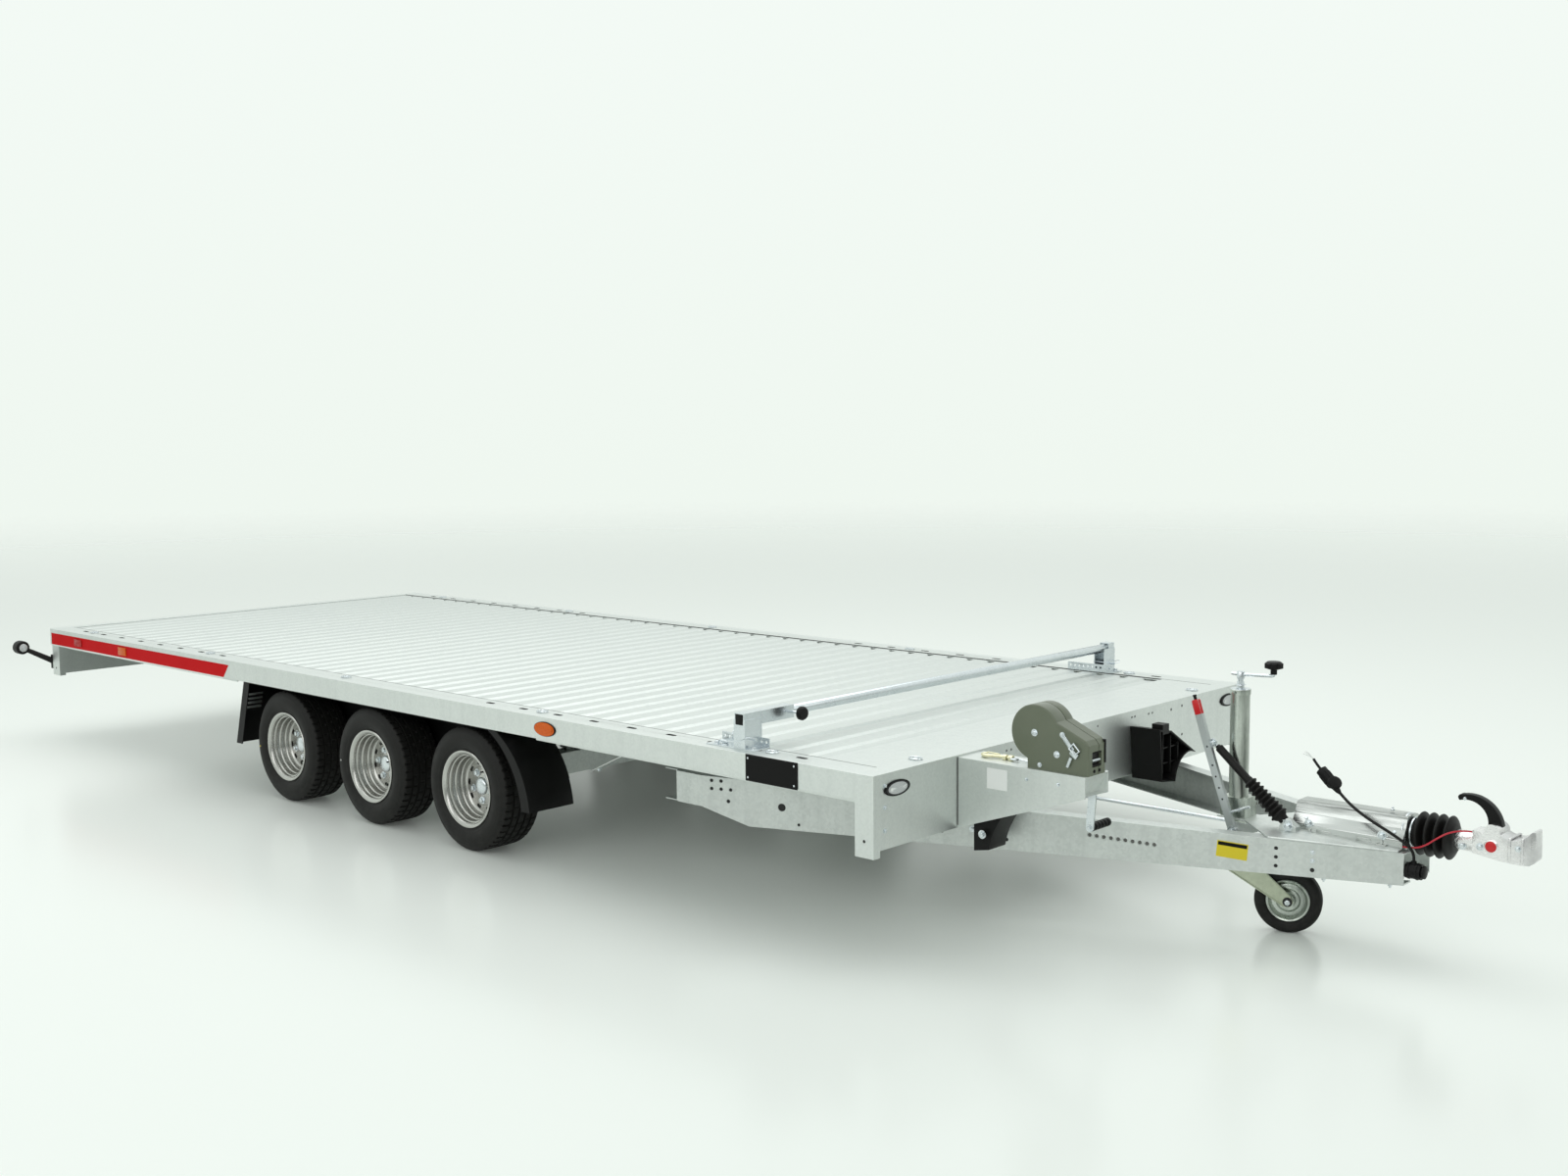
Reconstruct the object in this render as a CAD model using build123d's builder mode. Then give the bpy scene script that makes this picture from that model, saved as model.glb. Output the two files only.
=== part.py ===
import os
from math import pi, radians, tan

from build123d import *

os.makedirs("parts", exist_ok=True)

# Three-axle flatbed car transporter trailer.  Millimetres.  +X points forward to the
# coupling, +Y to the trailer's left and +Z up.  The origin is on the ground, under the
# middle of the trailer's overall length and width.

# ---- Driving dimensions: platform ----------------------------------------------------
platform_length = 5500
platform_width = 2240
sheet_wall = 4            # folded sheet of the rails, posts and end panels
rail_flange = 105         # flat walkway along each long side
fascia_height = 82
arch_gap = 14             # between the tyres' tops and the fascia's lower edge
fascia_return = 30        # fold inward under the fascia, and the depth of the posts
fascia_lip = 15
rib_pitch = 109           # cross ribs of the pressed floor
rib_top = 58
rib_slope = 9
rib_depth = 20
floor_wall = 3
front_plate = 285         # flat plate between the last rib and the front edge
plate_lap = 60            # front plate lying on the floor's end
first_rib = 46
slot_length = 44
slot_width = 18
slot_pitch = 195
slot_inset = 63           # slot centres from the outer face of the rail
front_slots = 9
front_slot_end = 338      # foremost slot from the front edge
rear_slots = 8
rear_slot_start = 275
post_width = 72
front_post_height = 246
front_panel_height = 229
rear_panel_inset = 16
rear_panel_drop = 155     # rear panel below the fascia's lower edge
rear_post_width = 76
cross_member_width = 40
cross_member_count = 9
cross_member_start = 100
cross_member_end = 310
header_width = 40
beam_height = 80          # long chassis beams
beam_width = 50
beam_track = 1400
channel_wall = 5

# ---- Driving dimensions: running gear ------------------------------------------------
tyre_radius = 238
tyre_width = 195
tread_width = 156
shoulder_drop = 20
bead_radius = 131
rim_radius = 148
rim_width = 176
dish_radius = 98
cap_radius = 34
cap_height = 26
bead_clearance = 0.3
wheel_inset = 8           # deck edge beyond the tyre's outer face
first_axle = 2227         # rear axle from the rear edge of the platform
axle_spread = 634
axle_tube = 84            # square tube of a rubber suspension axle
axle_wall = 6
axle_height = 306
axle_half_length = 762
arm_length = 135          # trailing arm, axle tube to wheel centre along X
arm_width = 64
arm_thickness = 28
hanger_length = 120
hanger_wall = 10
drum_radius = 94
drum_width = 58
drum_gap = 3
backplate_wall = 4
stub_radius = 20
stub_depth = 38
hub_radius = 36
shaft_clearance = 0.3
mudguard_width = 206
mudguard_wall = 4
mudguard_lip = 45
rear_skirt_top = 307      # ahead of the rear axle's centre, rearward
rear_skirt_bottom = 388
front_skirt_top = 200
front_skirt_bottom = 392
front_skirt_bulge = 340
skirt_bulge_height = 360
skirt_height = 208
inner_wall_height = 300   # lower edge of the mudguard's inner wall

# ---- Driving dimensions: drawbar -----------------------------------------------------
drawbar_reach = 1155      # front end of the V beams ahead of the platform
drawbar_half_gap = 97     # outer face of a beam from the centre line at the front end
drawbar_angle = 20.7
drawbar_bottom = 241
drawbar_nose_depth = 96
drawbar_root_depth = 164
drawbar_tail = 949        # rear end of the V beams behind the platform's front edge
drawbar_flange = 53
drawbar_chamfer_rise = 55
drawbar_chamfer_run = 161
notch_clearance = 8
row_setback = 673         # row of holes in each beam's web, behind the beam's front end
row_pitch = 20.8
row_holes = 10
row_radius = 5.5
trio_setback = 336        # three holes above each other near the front
trio_pitch = 27
tail_hole_pitch = 33      # holes for the chassis bolts at the beam's rear end
tail_hole_radius = 6
tail_big_hole = 13
tail_member_width = 60
tail_bracket_gap = 123    # between the tail member and the rear ends of the V beams
pad_length = 100
pad_width = 46
base_plate = 6
housing_length = 345      # overrun brake housing
housing_width = 150
housing_top = 432
housing_shoulder = 398
housing_crown = 76
housing_fillet = 12
housing_ring = 54         # collar round the shaft at the housing's front
housing_ring_length = 24
housing_loop = 230        # raised loop pressed into each flank
housing_loop_height = 26
housing_press = 4
housing_setback = 15      # housing front face behind the beams' front ends
tongue_flare = 344        # base plate's widest part, behind the housing's front face
tongue_grip = 48          # half the width of the plate's tongue around the jockey tube
shaft_height = 382        # axis of the overrun shaft
bellows_length = 130
bellows_radius = 66
bellows_neck = 43
bellows_valley = 52
bellows_collar = 16
bellows_ribs = 4
coupling_reach = 1505     # nose of the coupling head ahead of the platform
coupling_neck = 30        # radius of the head's tubular neck
coupling_neck_length = 100
coupling_head_radius = 46
coupling_head_depth = 76
ball_radius = 25
ball_clearance = 0.3
coupling_wall = 10
coupling_boss = 24        # raised boss that carries the handle's pivot
coupling_boss_rise = 26
coupling_saddle = 6       # dip between the boss and the nose
coupling_nose_rise = 19
coupling_chin = 31        # underside of the nose above the head's bottom
handle_width = 26
handle_reach = 96         # handle's tip behind the pivot boss
handle_rise = 96          # and above the head
handle_depth = 18

# ---- Driving dimensions: jockey wheel ------------------------------------------------
jockey_x = 608            # tube axis ahead of the platform
jockey_y = -58
jockey_tube_radius = 30
jockey_leg_radius = 26
jockey_tube_top = 762
jockey_tube_bottom = 330
jockey_leg_top = 600
jockey_cap = 10
jockey_collar = 32
jockey_collar_height = 17
clamp_top = 422
clamp_length = 84
clamp_width = 78
jockey_wheel_radius = 103
jockey_wheel_width = 54
jockey_rim_radius = 67
jockey_hub_radius = 20
jockey_trail = 157
jockey_heading = 21.7     # castor direction at rest
crank_radius = 110        # swing of the jockey wheel's crank
crank_rise = 49           # crank arm above the tube's top
crank_rod = 6
knob_radius = 28
knob_height = 26
knob_foot = 12
knob_flute = 5
knob_flutes = 9
fork_wall = 4
fork_gap = 5
crown_height = 246
crown_wall = 6
crown_reach = 34
king_pin = 12
pin_head = 19
axle_pin = 6

# ---- Driving dimensions: fittings ----------------------------------------------------
stop_setback = 575        # wheel stop bar behind the front edge
stop_height = 96          # bar axis above the deck
stop_bar_radius = 17
stop_sleeve = 42
stop_sleeve_length = 235
stop_plate_height = 78
stop_plate_wall = 4
stop_rail_length = 210
stop_rail_shift = 45
stop_strip = 32           # height of the perforated strip
stop_hole = 4.5
stop_holes = 10
stop_hole_pitch = 20.5
stop_inset = 30
star_knob_radius = 20
winch_box_outer = 713     # outer side of the winch bracket from the centre line
winch_box_width = 127
winch_box_reach = 462
winch_box_top = 566
winch_box_nose = 64
winch_box_wall = 4
winch_reach = 277         # drum axis ahead of the platform
winch_axis_height = 675
winch_radius = 85
winch_width = 90
winch_inset = 12
winch_neck = 27
winch_nose_reach = 188
winch_nose_height = 104
winch_seam = 3            # groove between the two halves of the cover
winch_cover = 56          # width of the near half
winch_round = 5
winch_mouth_width = 50    # opening in the nose
winch_mouth_height = 46
winch_mouth_depth = 36
crank_axis_reach = 411
crank_axis_height = 612
crank_arm = 232
crank_grip = 97
crank_flat = 26
crank_lean = 20           # lower end of the arm behind its shaft
grip_radius = 13
grip_grooves = 5
lever_y = -130            # handbrake lever
lever_width = 24
lever_thickness = 14
lever_wall = 3
lever_boss = 15
lever_foot_reach = 628    # places ahead of the platform
lever_foot_height = 325
lever_kink_reach = 529
lever_kink_height = 609
lever_tip_reach = 493
lever_tip_height = 723
lug_ear = 18              # lever lug behind and beside the pivot
lug_run = 80
spring_y = -112           # its spring cylinder
spring_seat = 16
spring_top_reach = 564
spring_top_height = 580
spring_foot_reach = 791
spring_foot_height = 379
spring_rod = 13           # radius of the cylinder's upper tube
boot_ribs = 9
boot_radius = 22          # at the boot's thin end
boot_swell = 29           # and at its foot
boot_groove = 5
rod_y = 20                # brake rod under the chassis
rod_z = 315
rod_seat = 17             # brake rod above the tail member's lower edge
rod_radius = 6
rod_reach = 880
rod_lug = 20
rod_hole_gap = 4
equaliser = 300
rope_radius = 3
hook_reach = 158
rear_lamp_width = 230
rear_lamp_height = 100
rear_lamp_depth = 34
rear_lamp_fields = 3
rear_lamp_inset = 240
lamp_head_radius = 34
lamp_overhang = 91        # rear reach of the outline lamps behind the platform
lamp_long = 120           # oval lamps of the front panel
lamp_high = 44
lamp_depth = 8
marker_reach = 1505       # side marker lamp behind the front edge
eye_radius = 22
eye_bar = 5
eye_shares = (0.067, 0.278, 0.480, 0.710)   # along the platform
foremost_eye = 462        # behind the front edge, ahead of the wheel stop
chock_width = 120
chock_wall = 6
chock_hollow = 70         # depth of the chock's open front
chock_grip = 44
chock_grip_rise = 24
chock_reach = 256         # sideways length of the panel chock
chock_depth = 216
chock_inset = 300         # panel chock from the centre line
chock_top = 53            # below the deck
box_chock_length = 108
box_chock_drop = 86
box_chock_width = 90

# ---- Derived places ------------------------------------------------------------------
deck_height = 2 * tyre_radius + arch_gap + fascia_height
crank_height = jockey_tube_top + crank_rise
rear = lamp_overhang - (lamp_overhang + platform_length + coupling_reach) / 2
front = rear + platform_length
half_width = platform_width / 2
floor_top = deck_height - sheet_wall
trough_top = floor_top - rib_depth
floor_bottom = trough_top - floor_wall
fascia_bottom = deck_height - fascia_height
rail_inner = half_width - rail_flange
rail_end = front - post_width
panel_half = half_width - fascia_return
cross_half = panel_half - sheet_wall
beam_bottom = fascia_bottom - beam_height
beam_y = beam_track / 2
wheel_y = half_width - wheel_inset - tyre_width / 2
axles = {
    "rear": rear + first_axle,
    "mid": rear + first_axle + axle_spread,
    "front": rear + first_axle + 2 * axle_spread,
}
sides = {"right": -1, "left": 1}
drawbar_front = front + drawbar_reach
drawbar_rear = front - drawbar_tail
drawbar_run = drawbar_reach + drawbar_tail
taper = (drawbar_root_depth - drawbar_nose_depth) / drawbar_run
spread = tan(radians(drawbar_angle))
housing_front = drawbar_front - housing_setback
housing_rear = housing_front - housing_length
lever_foot = (front + lever_foot_reach, lever_foot_height)
lever_kink = (front + lever_kink_reach, lever_kink_height)
lever_tip = (front + lever_tip_reach, lever_tip_height)
spring_top = Vector(front + spring_top_reach, spring_y, spring_top_height)
spring_foot = Vector(front + spring_foot_reach, spring_y, spring_foot_height)
rod_end = front + rod_reach


def beam_top(x):
    return drawbar_bottom + drawbar_nose_depth + (drawbar_front - x) * taper


def beam_outer(x):
    return drawbar_half_gap + (drawbar_front - x) * spread


def save(part, name):
    part.label = name
    export_step(part, f"parts/{name}.step")


def save_pair(part, name):
    # the piece is made for the right-hand side and mirrored for the left
    save(part, f"{name}_right")
    with BuildPart() as twin:
        mirror(part, about=Plane.XZ, mode=Mode.ADD)
    save(twin.part, f"{name}_left")


def prism(plan, profile):
    # the solid whose outline is `plan` from above and `profile` (x, z) from the side
    with BuildPart() as block:
        with BuildSketch(Plane.XY):
            with BuildLine():
                Polyline(*plan, close=True)
            make_face()
        extrude(amount=2 * deck_height)
        with BuildSketch(Plane.XZ):
            with BuildLine():
                Polyline(*profile, close=True)
            make_face()
        extrude(amount=platform_width, both=True, mode=Mode.INTERSECT)
    return block.part


def rectangle_plan(x_from, x_to, y_from, y_to):
    return [(x_from, y_from), (x_to, y_from), (x_to, y_to), (x_from, y_to)]


# ---- Pressed floor -------------------------------------------------------------------
floor_start = rear + rear_panel_inset + sheet_wall
floor_end = front - front_plate
rib_foot = rib_top + 2 * rib_slope
rib_count = int((floor_end - rear - first_rib - rib_foot) // rib_pitch) + 1
rib_line = [(floor_start, trough_top)]
for index in range(rib_count):
    start = rear + first_rib + index * rib_pitch
    rib_line += [
        (start, trough_top),
        (start + rib_slope, floor_top),
        (start + rib_slope + rib_top, floor_top),
        (start + rib_foot, trough_top),
    ]
rib_line += [
    (floor_end - rib_slope, trough_top),
    (floor_end, floor_top),
    (floor_end + plate_lap, floor_top),
]
rib_underside = [(x, z - floor_wall) for x, z in reversed(rib_line)]

with BuildPart() as deck_floor:
    with BuildSketch(Plane.XZ):
        with BuildLine():
            Polyline(*rib_line, *rib_underside, close=True)
        make_face()
    extrude(amount=half_width - sheet_wall, both=True)
save(deck_floor.part, "deck_floor")

# ---- Edge rails: walkway flange, fascia and lower return in one folded profile -------
front_slot_places = [front - front_slot_end - i * slot_pitch for i in range(front_slots)]
rear_slot_places = [rear + rear_slot_start + i * slot_pitch for i in range(rear_slots)]
guard_rear = axles["rear"] - rear_skirt_bottom
guard_front = axles["front"] + front_skirt_bottom

with BuildPart() as edge_rail:
    with BuildSketch(Plane.YZ.offset(rear)):
        with BuildLine():
            Polyline(
                (-rail_inner, deck_height),
                (-half_width, deck_height),
                (-half_width, fascia_bottom),
                (-panel_half, fascia_bottom),
                (-panel_half, fascia_bottom + sheet_wall),
                (-half_width + sheet_wall, fascia_bottom + sheet_wall),
                (-half_width + sheet_wall, floor_top),
                (-rail_inner, floor_top),
                close=True,
            )
        make_face()
    extrude(amount=rail_end - rear)
    # the lip turned down from the return stops short of the wheel arches
    for lip_start, lip_end in (
        (rear + rear_panel_inset + rear_post_width + slot_width, guard_rear - slot_width),
        (guard_front + slot_width, rail_end),
    ):
        with BuildSketch(Plane.YZ.offset(lip_start)):
            with Locations((-panel_half, fascia_bottom + sheet_wall)):
                Rectangle(sheet_wall, fascia_lip + sheet_wall, align=(Align.MIN, Align.MAX))
        extrude(amount=lip_end - lip_start)
    with BuildSketch(Plane.XY.offset(floor_top)):
        with Locations(*[(x, slot_inset - half_width) for x in front_slot_places + rear_slot_places]):
            SlotOverall(slot_length, slot_width)
    extrude(amount=sheet_wall, mode=Mode.SUBTRACT)
save_pair(edge_rail.part, "edge_rail")

# ---- Front panel: flat deck plate and the deep sheet under its front edge ------------
panel_bottom = deck_height - front_panel_height
lamp_y = half_width - 108
lamp_z = deck_height - 51
with BuildPart() as front_panel:
    with BuildSketch(Plane.XY.offset(floor_top)):
        with Locations((front, 0)):
            Rectangle(front_plate, 2 * rail_inner, align=(Align.MAX, Align.CENTER))
            Rectangle(post_width, 2 * half_width, align=(Align.MAX, Align.CENTER))
    extrude(amount=sheet_wall)
    with BuildSketch(Plane.YZ.offset(front - sheet_wall)):
        with Locations((0, floor_top)):
            Rectangle(2 * panel_half, floor_top - panel_bottom, align=(Align.CENTER, Align.MAX))
        notch_outer = beam_outer(front - sheet_wall) + notch_clearance
        notch_inner = beam_outer(front) - drawbar_flange - notch_clearance
        for side in sides.values():
            with Locations((side * (notch_outer + notch_inner) / 2, panel_bottom)):
                Rectangle(
                    notch_outer - notch_inner,
                    beam_top(front) + notch_clearance - panel_bottom,
                    align=(Align.CENTER, Align.MIN),
                    mode=Mode.SUBTRACT,
                )
    extrude(amount=sheet_wall)
save(front_panel.part, "front_panel")

# ---- Rear panel ----------------------------------------------------------------------
rear_bottom = fascia_bottom - rear_panel_drop
with BuildPart() as rear_panel:
    with BuildSketch(Plane.XZ):
        with BuildLine():
            Polyline(
                (rear, deck_height),
                (rear, floor_top),
                (rear + rear_panel_inset, floor_top),
                (rear + rear_panel_inset, rear_bottom),
                (rear + rear_panel_inset + sheet_wall, rear_bottom),
                (rear + rear_panel_inset + sheet_wall, floor_top),
                (rear + first_rib, floor_top),
                (rear + first_rib, deck_height),
                close=True,
            )
        make_face()
    extrude(amount=rail_inner, both=True)
    with BuildSketch(Plane.YZ.offset(rear + rear_panel_inset)):
        with Locations((0, trough_top)):
            Rectangle(2 * panel_half, trough_top - rear_bottom, align=(Align.CENTER, Align.MAX))
    extrude(amount=sheet_wall)
save(rear_panel.part, "rear_panel")

# ---- Corner posts --------------------------------------------------------------------
with BuildPart() as corner_posts:
    for side in sides.values():
        for x_from, width, z_from, z_to in (
            (rail_end, post_width, floor_top - front_post_height, floor_top),
            (rear + rear_panel_inset, rear_post_width, rear_bottom, fascia_bottom),
        ):
            with BuildSketch(Plane.XY.offset(z_from)):
                with Locations((x_from + width / 2, side * (half_width - fascia_return / 2))):
                    Rectangle(width, fascia_return)
                with Locations((x_from + width / 2, side * (half_width - sheet_wall - fascia_return / 2))):
                    Rectangle(width - 2 * sheet_wall, fascia_return, mode=Mode.SUBTRACT)
            extrude(amount=z_to - z_from)
save(corner_posts.part, "corner_posts")

# ---- Cross-members under the floor, and the header behind the front panel ------------
member_reach = platform_length - cross_member_start - cross_member_end
member_pitch = member_reach / (cross_member_count - 1)
with BuildPart() as cross_members:
    for index in range(cross_member_count):
        x = rear + cross_member_start + index * member_pitch
        with BuildSketch(Plane.XZ):
            with Locations((x, fascia_bottom)):
                Rectangle(cross_member_width, floor_bottom - fascia_bottom, align=(Align.CENTER, Align.MIN))
            with Locations((x + channel_wall, fascia_bottom + channel_wall)):
                Rectangle(
                    cross_member_width,
                    floor_bottom - fascia_bottom - 2 * channel_wall,
                    align=(Align.CENTER, Align.MIN),
                    mode=Mode.SUBTRACT,
                )
        extrude(amount=cross_half, both=True)
    with BuildSketch(Plane.XZ):
        with Locations((front - sheet_wall, fascia_bottom)):
            Rectangle(header_width, floor_top - fascia_bottom, align=(Align.MAX, Align.MIN))
        with Locations((front - sheet_wall - channel_wall, fascia_bottom + channel_wall)):
            Rectangle(
                header_width,
                floor_top - fascia_bottom - 2 * channel_wall,
                align=(Align.MAX, Align.MIN),
                mode=Mode.SUBTRACT,
            )
    extrude(amount=panel_half, both=True)
save(cross_members.part, "cross_members")

# ---- Long chassis beams --------------------------------------------------------------
with BuildPart() as chassis_beams:
    with BuildSketch(Plane.YZ.offset(floor_start)):
        for side in sides.values():
            with Locations((side * beam_y, fascia_bottom)):
                Rectangle(beam_width, beam_height, align=(Align.CENTER, Align.MAX))
            with Locations((side * (beam_y - channel_wall), fascia_bottom - channel_wall)):
                Rectangle(
                    beam_width,
                    beam_height - 2 * channel_wall,
                    align=(Align.CENTER, Align.MAX),
                    mode=Mode.SUBTRACT,
                )
    extrude(amount=front - sheet_wall - floor_start)
save(chassis_beams.part, "chassis_beams")

# ---- V drawbar: two tapered channels, open inward ------------------------------------
chamfer_end = drawbar_rear + drawbar_chamfer_run


def beam_profile(inset, overrun):
    low = drawbar_bottom + inset
    x_nose = drawbar_front + overrun
    x_tail = drawbar_rear - overrun
    return [
        (x_nose, low),
        (x_nose, beam_top(x_nose) - inset),
        (x_tail, beam_top(x_tail) - inset),
        (x_tail, low + (chamfer_end - x_tail) * drawbar_chamfer_rise / drawbar_chamfer_run),
        (chamfer_end, low),
    ]


def beam_strip(skin, width, overrun):
    x_nose = drawbar_front + overrun
    x_tail = drawbar_rear - overrun
    return [
        (x_nose, -beam_outer(x_nose) + skin),
        (x_tail, -beam_outer(x_tail) + skin),
        (x_tail, -beam_outer(x_tail) + skin + width),
        (x_nose, -beam_outer(x_nose) + skin + width),
    ]


beam_outline = prism(beam_strip(0, drawbar_flange, 0), beam_profile(0, 0))
beam_cavity = prism(beam_strip(channel_wall, drawbar_flange, 10), beam_profile(channel_wall, 10))
row_middle = (drawbar_bottom + beam_top(drawbar_front - row_setback)) / 2
trio_middle = (drawbar_bottom + beam_top(drawbar_front - trio_setback)) / 2
tail_row = beam_top(drawbar_rear) - 15
with BuildPart() as drawbar_beam:
    add(beam_outline)
    add(beam_cavity, mode=Mode.SUBTRACT)
    with BuildSketch(Plane.XZ):
        for index in range(row_holes):
            with Locations((drawbar_front - row_setback - index * row_pitch, row_middle + 1.5 * index)):
                Circle(row_radius)
        for index in (-1, 0, 1):
            with Locations((drawbar_front - trio_setback, trio_middle + index * trio_pitch)):
                Circle(row_radius)
        for row, count in ((0, 2), (1, 3)):
            for index in range(count):
                with Locations((drawbar_rear + (index + 1) * tail_hole_pitch, tail_row - 0.85 * row * tail_hole_pitch)):
                    Circle(tail_hole_radius)
        with Locations((drawbar_rear + 8.3 * tail_hole_pitch, row_middle + tail_hole_pitch / 2)):
            Circle(tail_big_hole)
    extrude(amount=platform_width, both=True, mode=Mode.SUBTRACT)
save_pair(drawbar_beam.part, "drawbar_beam")

# ---- Drawbar brackets: tail member, end brackets and pads under the chassis ----------
tail_front = drawbar_rear - tail_bracket_gap
tail_rear = tail_front - tail_member_width
tail_outer = beam_outer(drawbar_rear)
tail_bottom = drawbar_bottom + drawbar_chamfer_rise
tail_member_height = beam_bottom - rod_z + rod_seat
with BuildPart() as drawbar_brackets:
    with BuildSketch(Plane.XZ):
        with Locations((tail_front, beam_bottom)):
            Rectangle(tail_member_width, tail_member_height, align=(Align.MAX, Align.MAX))
        with Locations((tail_front - channel_wall, beam_bottom - channel_wall)):
            Rectangle(
                tail_member_width,
                tail_member_height - 2 * channel_wall,
                align=(Align.MAX, Align.MAX),
                mode=Mode.SUBTRACT,
            )
    extrude(amount=tail_outer, both=True)
    for side in sides.values():
        with BuildSketch(Plane.YZ.offset(tail_front)):
            with Locations((side * tail_outer, beam_top(drawbar_rear))):
                corner = (Align.MAX if side > 0 else Align.MIN, Align.MAX)
                Rectangle(drawbar_flange, beam_top(drawbar_rear) - tail_bottom, align=corner)
            with Locations((side * (tail_outer - channel_wall), beam_top(drawbar_rear) - channel_wall)):
                Rectangle(
                    drawbar_flange,
                    beam_top(drawbar_rear) - tail_bottom - 2 * channel_wall,
                    align=corner,
                    mode=Mode.SUBTRACT,
                )
        extrude(amount=tail_bracket_gap)
    with BuildSketch(Plane.YZ.offset(tail_front)):
        with Locations((rod_y, rod_z)):
            Circle(rod_radius + rod_hole_gap)
    extrude(amount=-tail_member_width, mode=Mode.SUBTRACT)
crossing = drawbar_front - (beam_y + drawbar_flange / 2 - drawbar_half_gap) / spread
header_y = beam_outer(front - header_width / 2) - drawbar_flange / 2
pads = []
for x_from, x_to, y_pad, z_top in (
    (crossing - pad_length / 2, crossing + pad_length / 2, beam_y, beam_bottom),
    (front - sheet_wall - header_width, front - sheet_wall, header_y, fascia_bottom),
):
    profile = [(x_from, beam_top(x_from)), (x_to, beam_top(x_to)), (x_to, z_top), (x_from, z_top)]
    for side in sides.values():
        plan = rectangle_plan(x_from, x_to, side * y_pad - pad_width / 2, side * y_pad + pad_width / 2)
        pads.append(prism(plan, profile))
with BuildPart() as drawbar_supports:
    add(drawbar_brackets.part)
    for pad in pads:
        add(pad)
save(drawbar_supports.part, "drawbar_brackets")

# ---- Overrun base plate: lies on both beams and reaches back to the jockey tube ------
jockey_axis = (front + jockey_x, jockey_y)
tongue_front = housing_front - tongue_flare
tongue_neck = jockey_axis[0] + tongue_grip
tongue_end = jockey_axis[0] - tongue_grip
plate_plan = [
    (housing_front, -beam_outer(housing_front)),
    (tongue_front, -beam_outer(tongue_front)),
    (tongue_neck, jockey_y - tongue_grip),
    (tongue_end, jockey_y - tongue_grip),
    (tongue_end, jockey_y + tongue_grip),
    (tongue_neck, jockey_y + tongue_grip),
    (tongue_front, beam_outer(tongue_front)),
    (housing_front, beam_outer(housing_front)),
]
plate_profile = [
    (housing_front, beam_top(housing_front)),
    (housing_front, beam_top(housing_front) + base_plate),
    (tongue_end, beam_top(tongue_end) + base_plate),
    (tongue_end, beam_top(tongue_end)),
]

# the lever pivots on a lug under the plate, the spring cylinder pushes on a lug above it
lever_face = lever_y + lever_thickness / 2
lever_lug = prism(
    rectangle_plan(lever_foot[0] - lug_ear, lever_foot[0] + lug_run, lever_face, lever_face + base_plate),
    [
        (lever_foot[0] - lug_ear, lever_foot[1] - 0.7 * lug_ear),
        (lever_foot[0] - lug_ear, beam_top(lever_foot[0] - lug_ear)),
        (lever_foot[0] + lug_run, beam_top(lever_foot[0] + lug_run)),
        (lever_foot[0] + lug_run, lever_foot[1] + 0.1 * lug_run),
        (lever_foot[0] + lug_ear, lever_foot[1] - 0.7 * lug_ear),
    ],
)
spring_axis = (spring_foot - spring_top).normalized()
spring_length = (spring_foot - spring_top).length
seat = Vector(-spring_axis.Z, 0, spring_axis.X)
seat_low = spring_foot - seat * spring_seat
seat_high = spring_foot + seat * spring_seat
lug_end = seat_high.X + 2 * spring_seat
spring_lug = prism(
    rectangle_plan(seat_low.X, lug_end, spring_y - spring_seat, spring_y + spring_seat),
    [
        (seat_low.X, beam_top(seat_low.X) + base_plate),
        (seat_low.X, seat_low.Z),
        (seat_high.X, seat_high.Z),
        (lug_end, seat_low.Z),
        (lug_end, beam_top(lug_end) + base_plate),
    ],
)
rod_stop = prism(
    rectangle_plan(rod_end, rod_end + rod_lug, rod_y - 2 * rod_radius, rod_y + 2 * rod_radius),
    [
        (rod_end, rod_z - 2 * rod_radius),
        (rod_end, beam_top(rod_end)),
        (rod_end + rod_lug, beam_top(rod_end + rod_lug)),
        (rod_end + rod_lug, rod_z - 2 * rod_radius),
    ],
)
with BuildPart() as overrun_base:
    add(prism(plate_plan, plate_profile))
    add(lever_lug)
    add(spring_lug)
    add(rod_stop)
    with BuildSketch(Plane.XY):
        with Locations(jockey_axis):
            Circle(jockey_tube_radius + shaft_clearance)
    extrude(amount=deck_height, mode=Mode.SUBTRACT)
save(overrun_base.part, "overrun_base")

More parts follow.
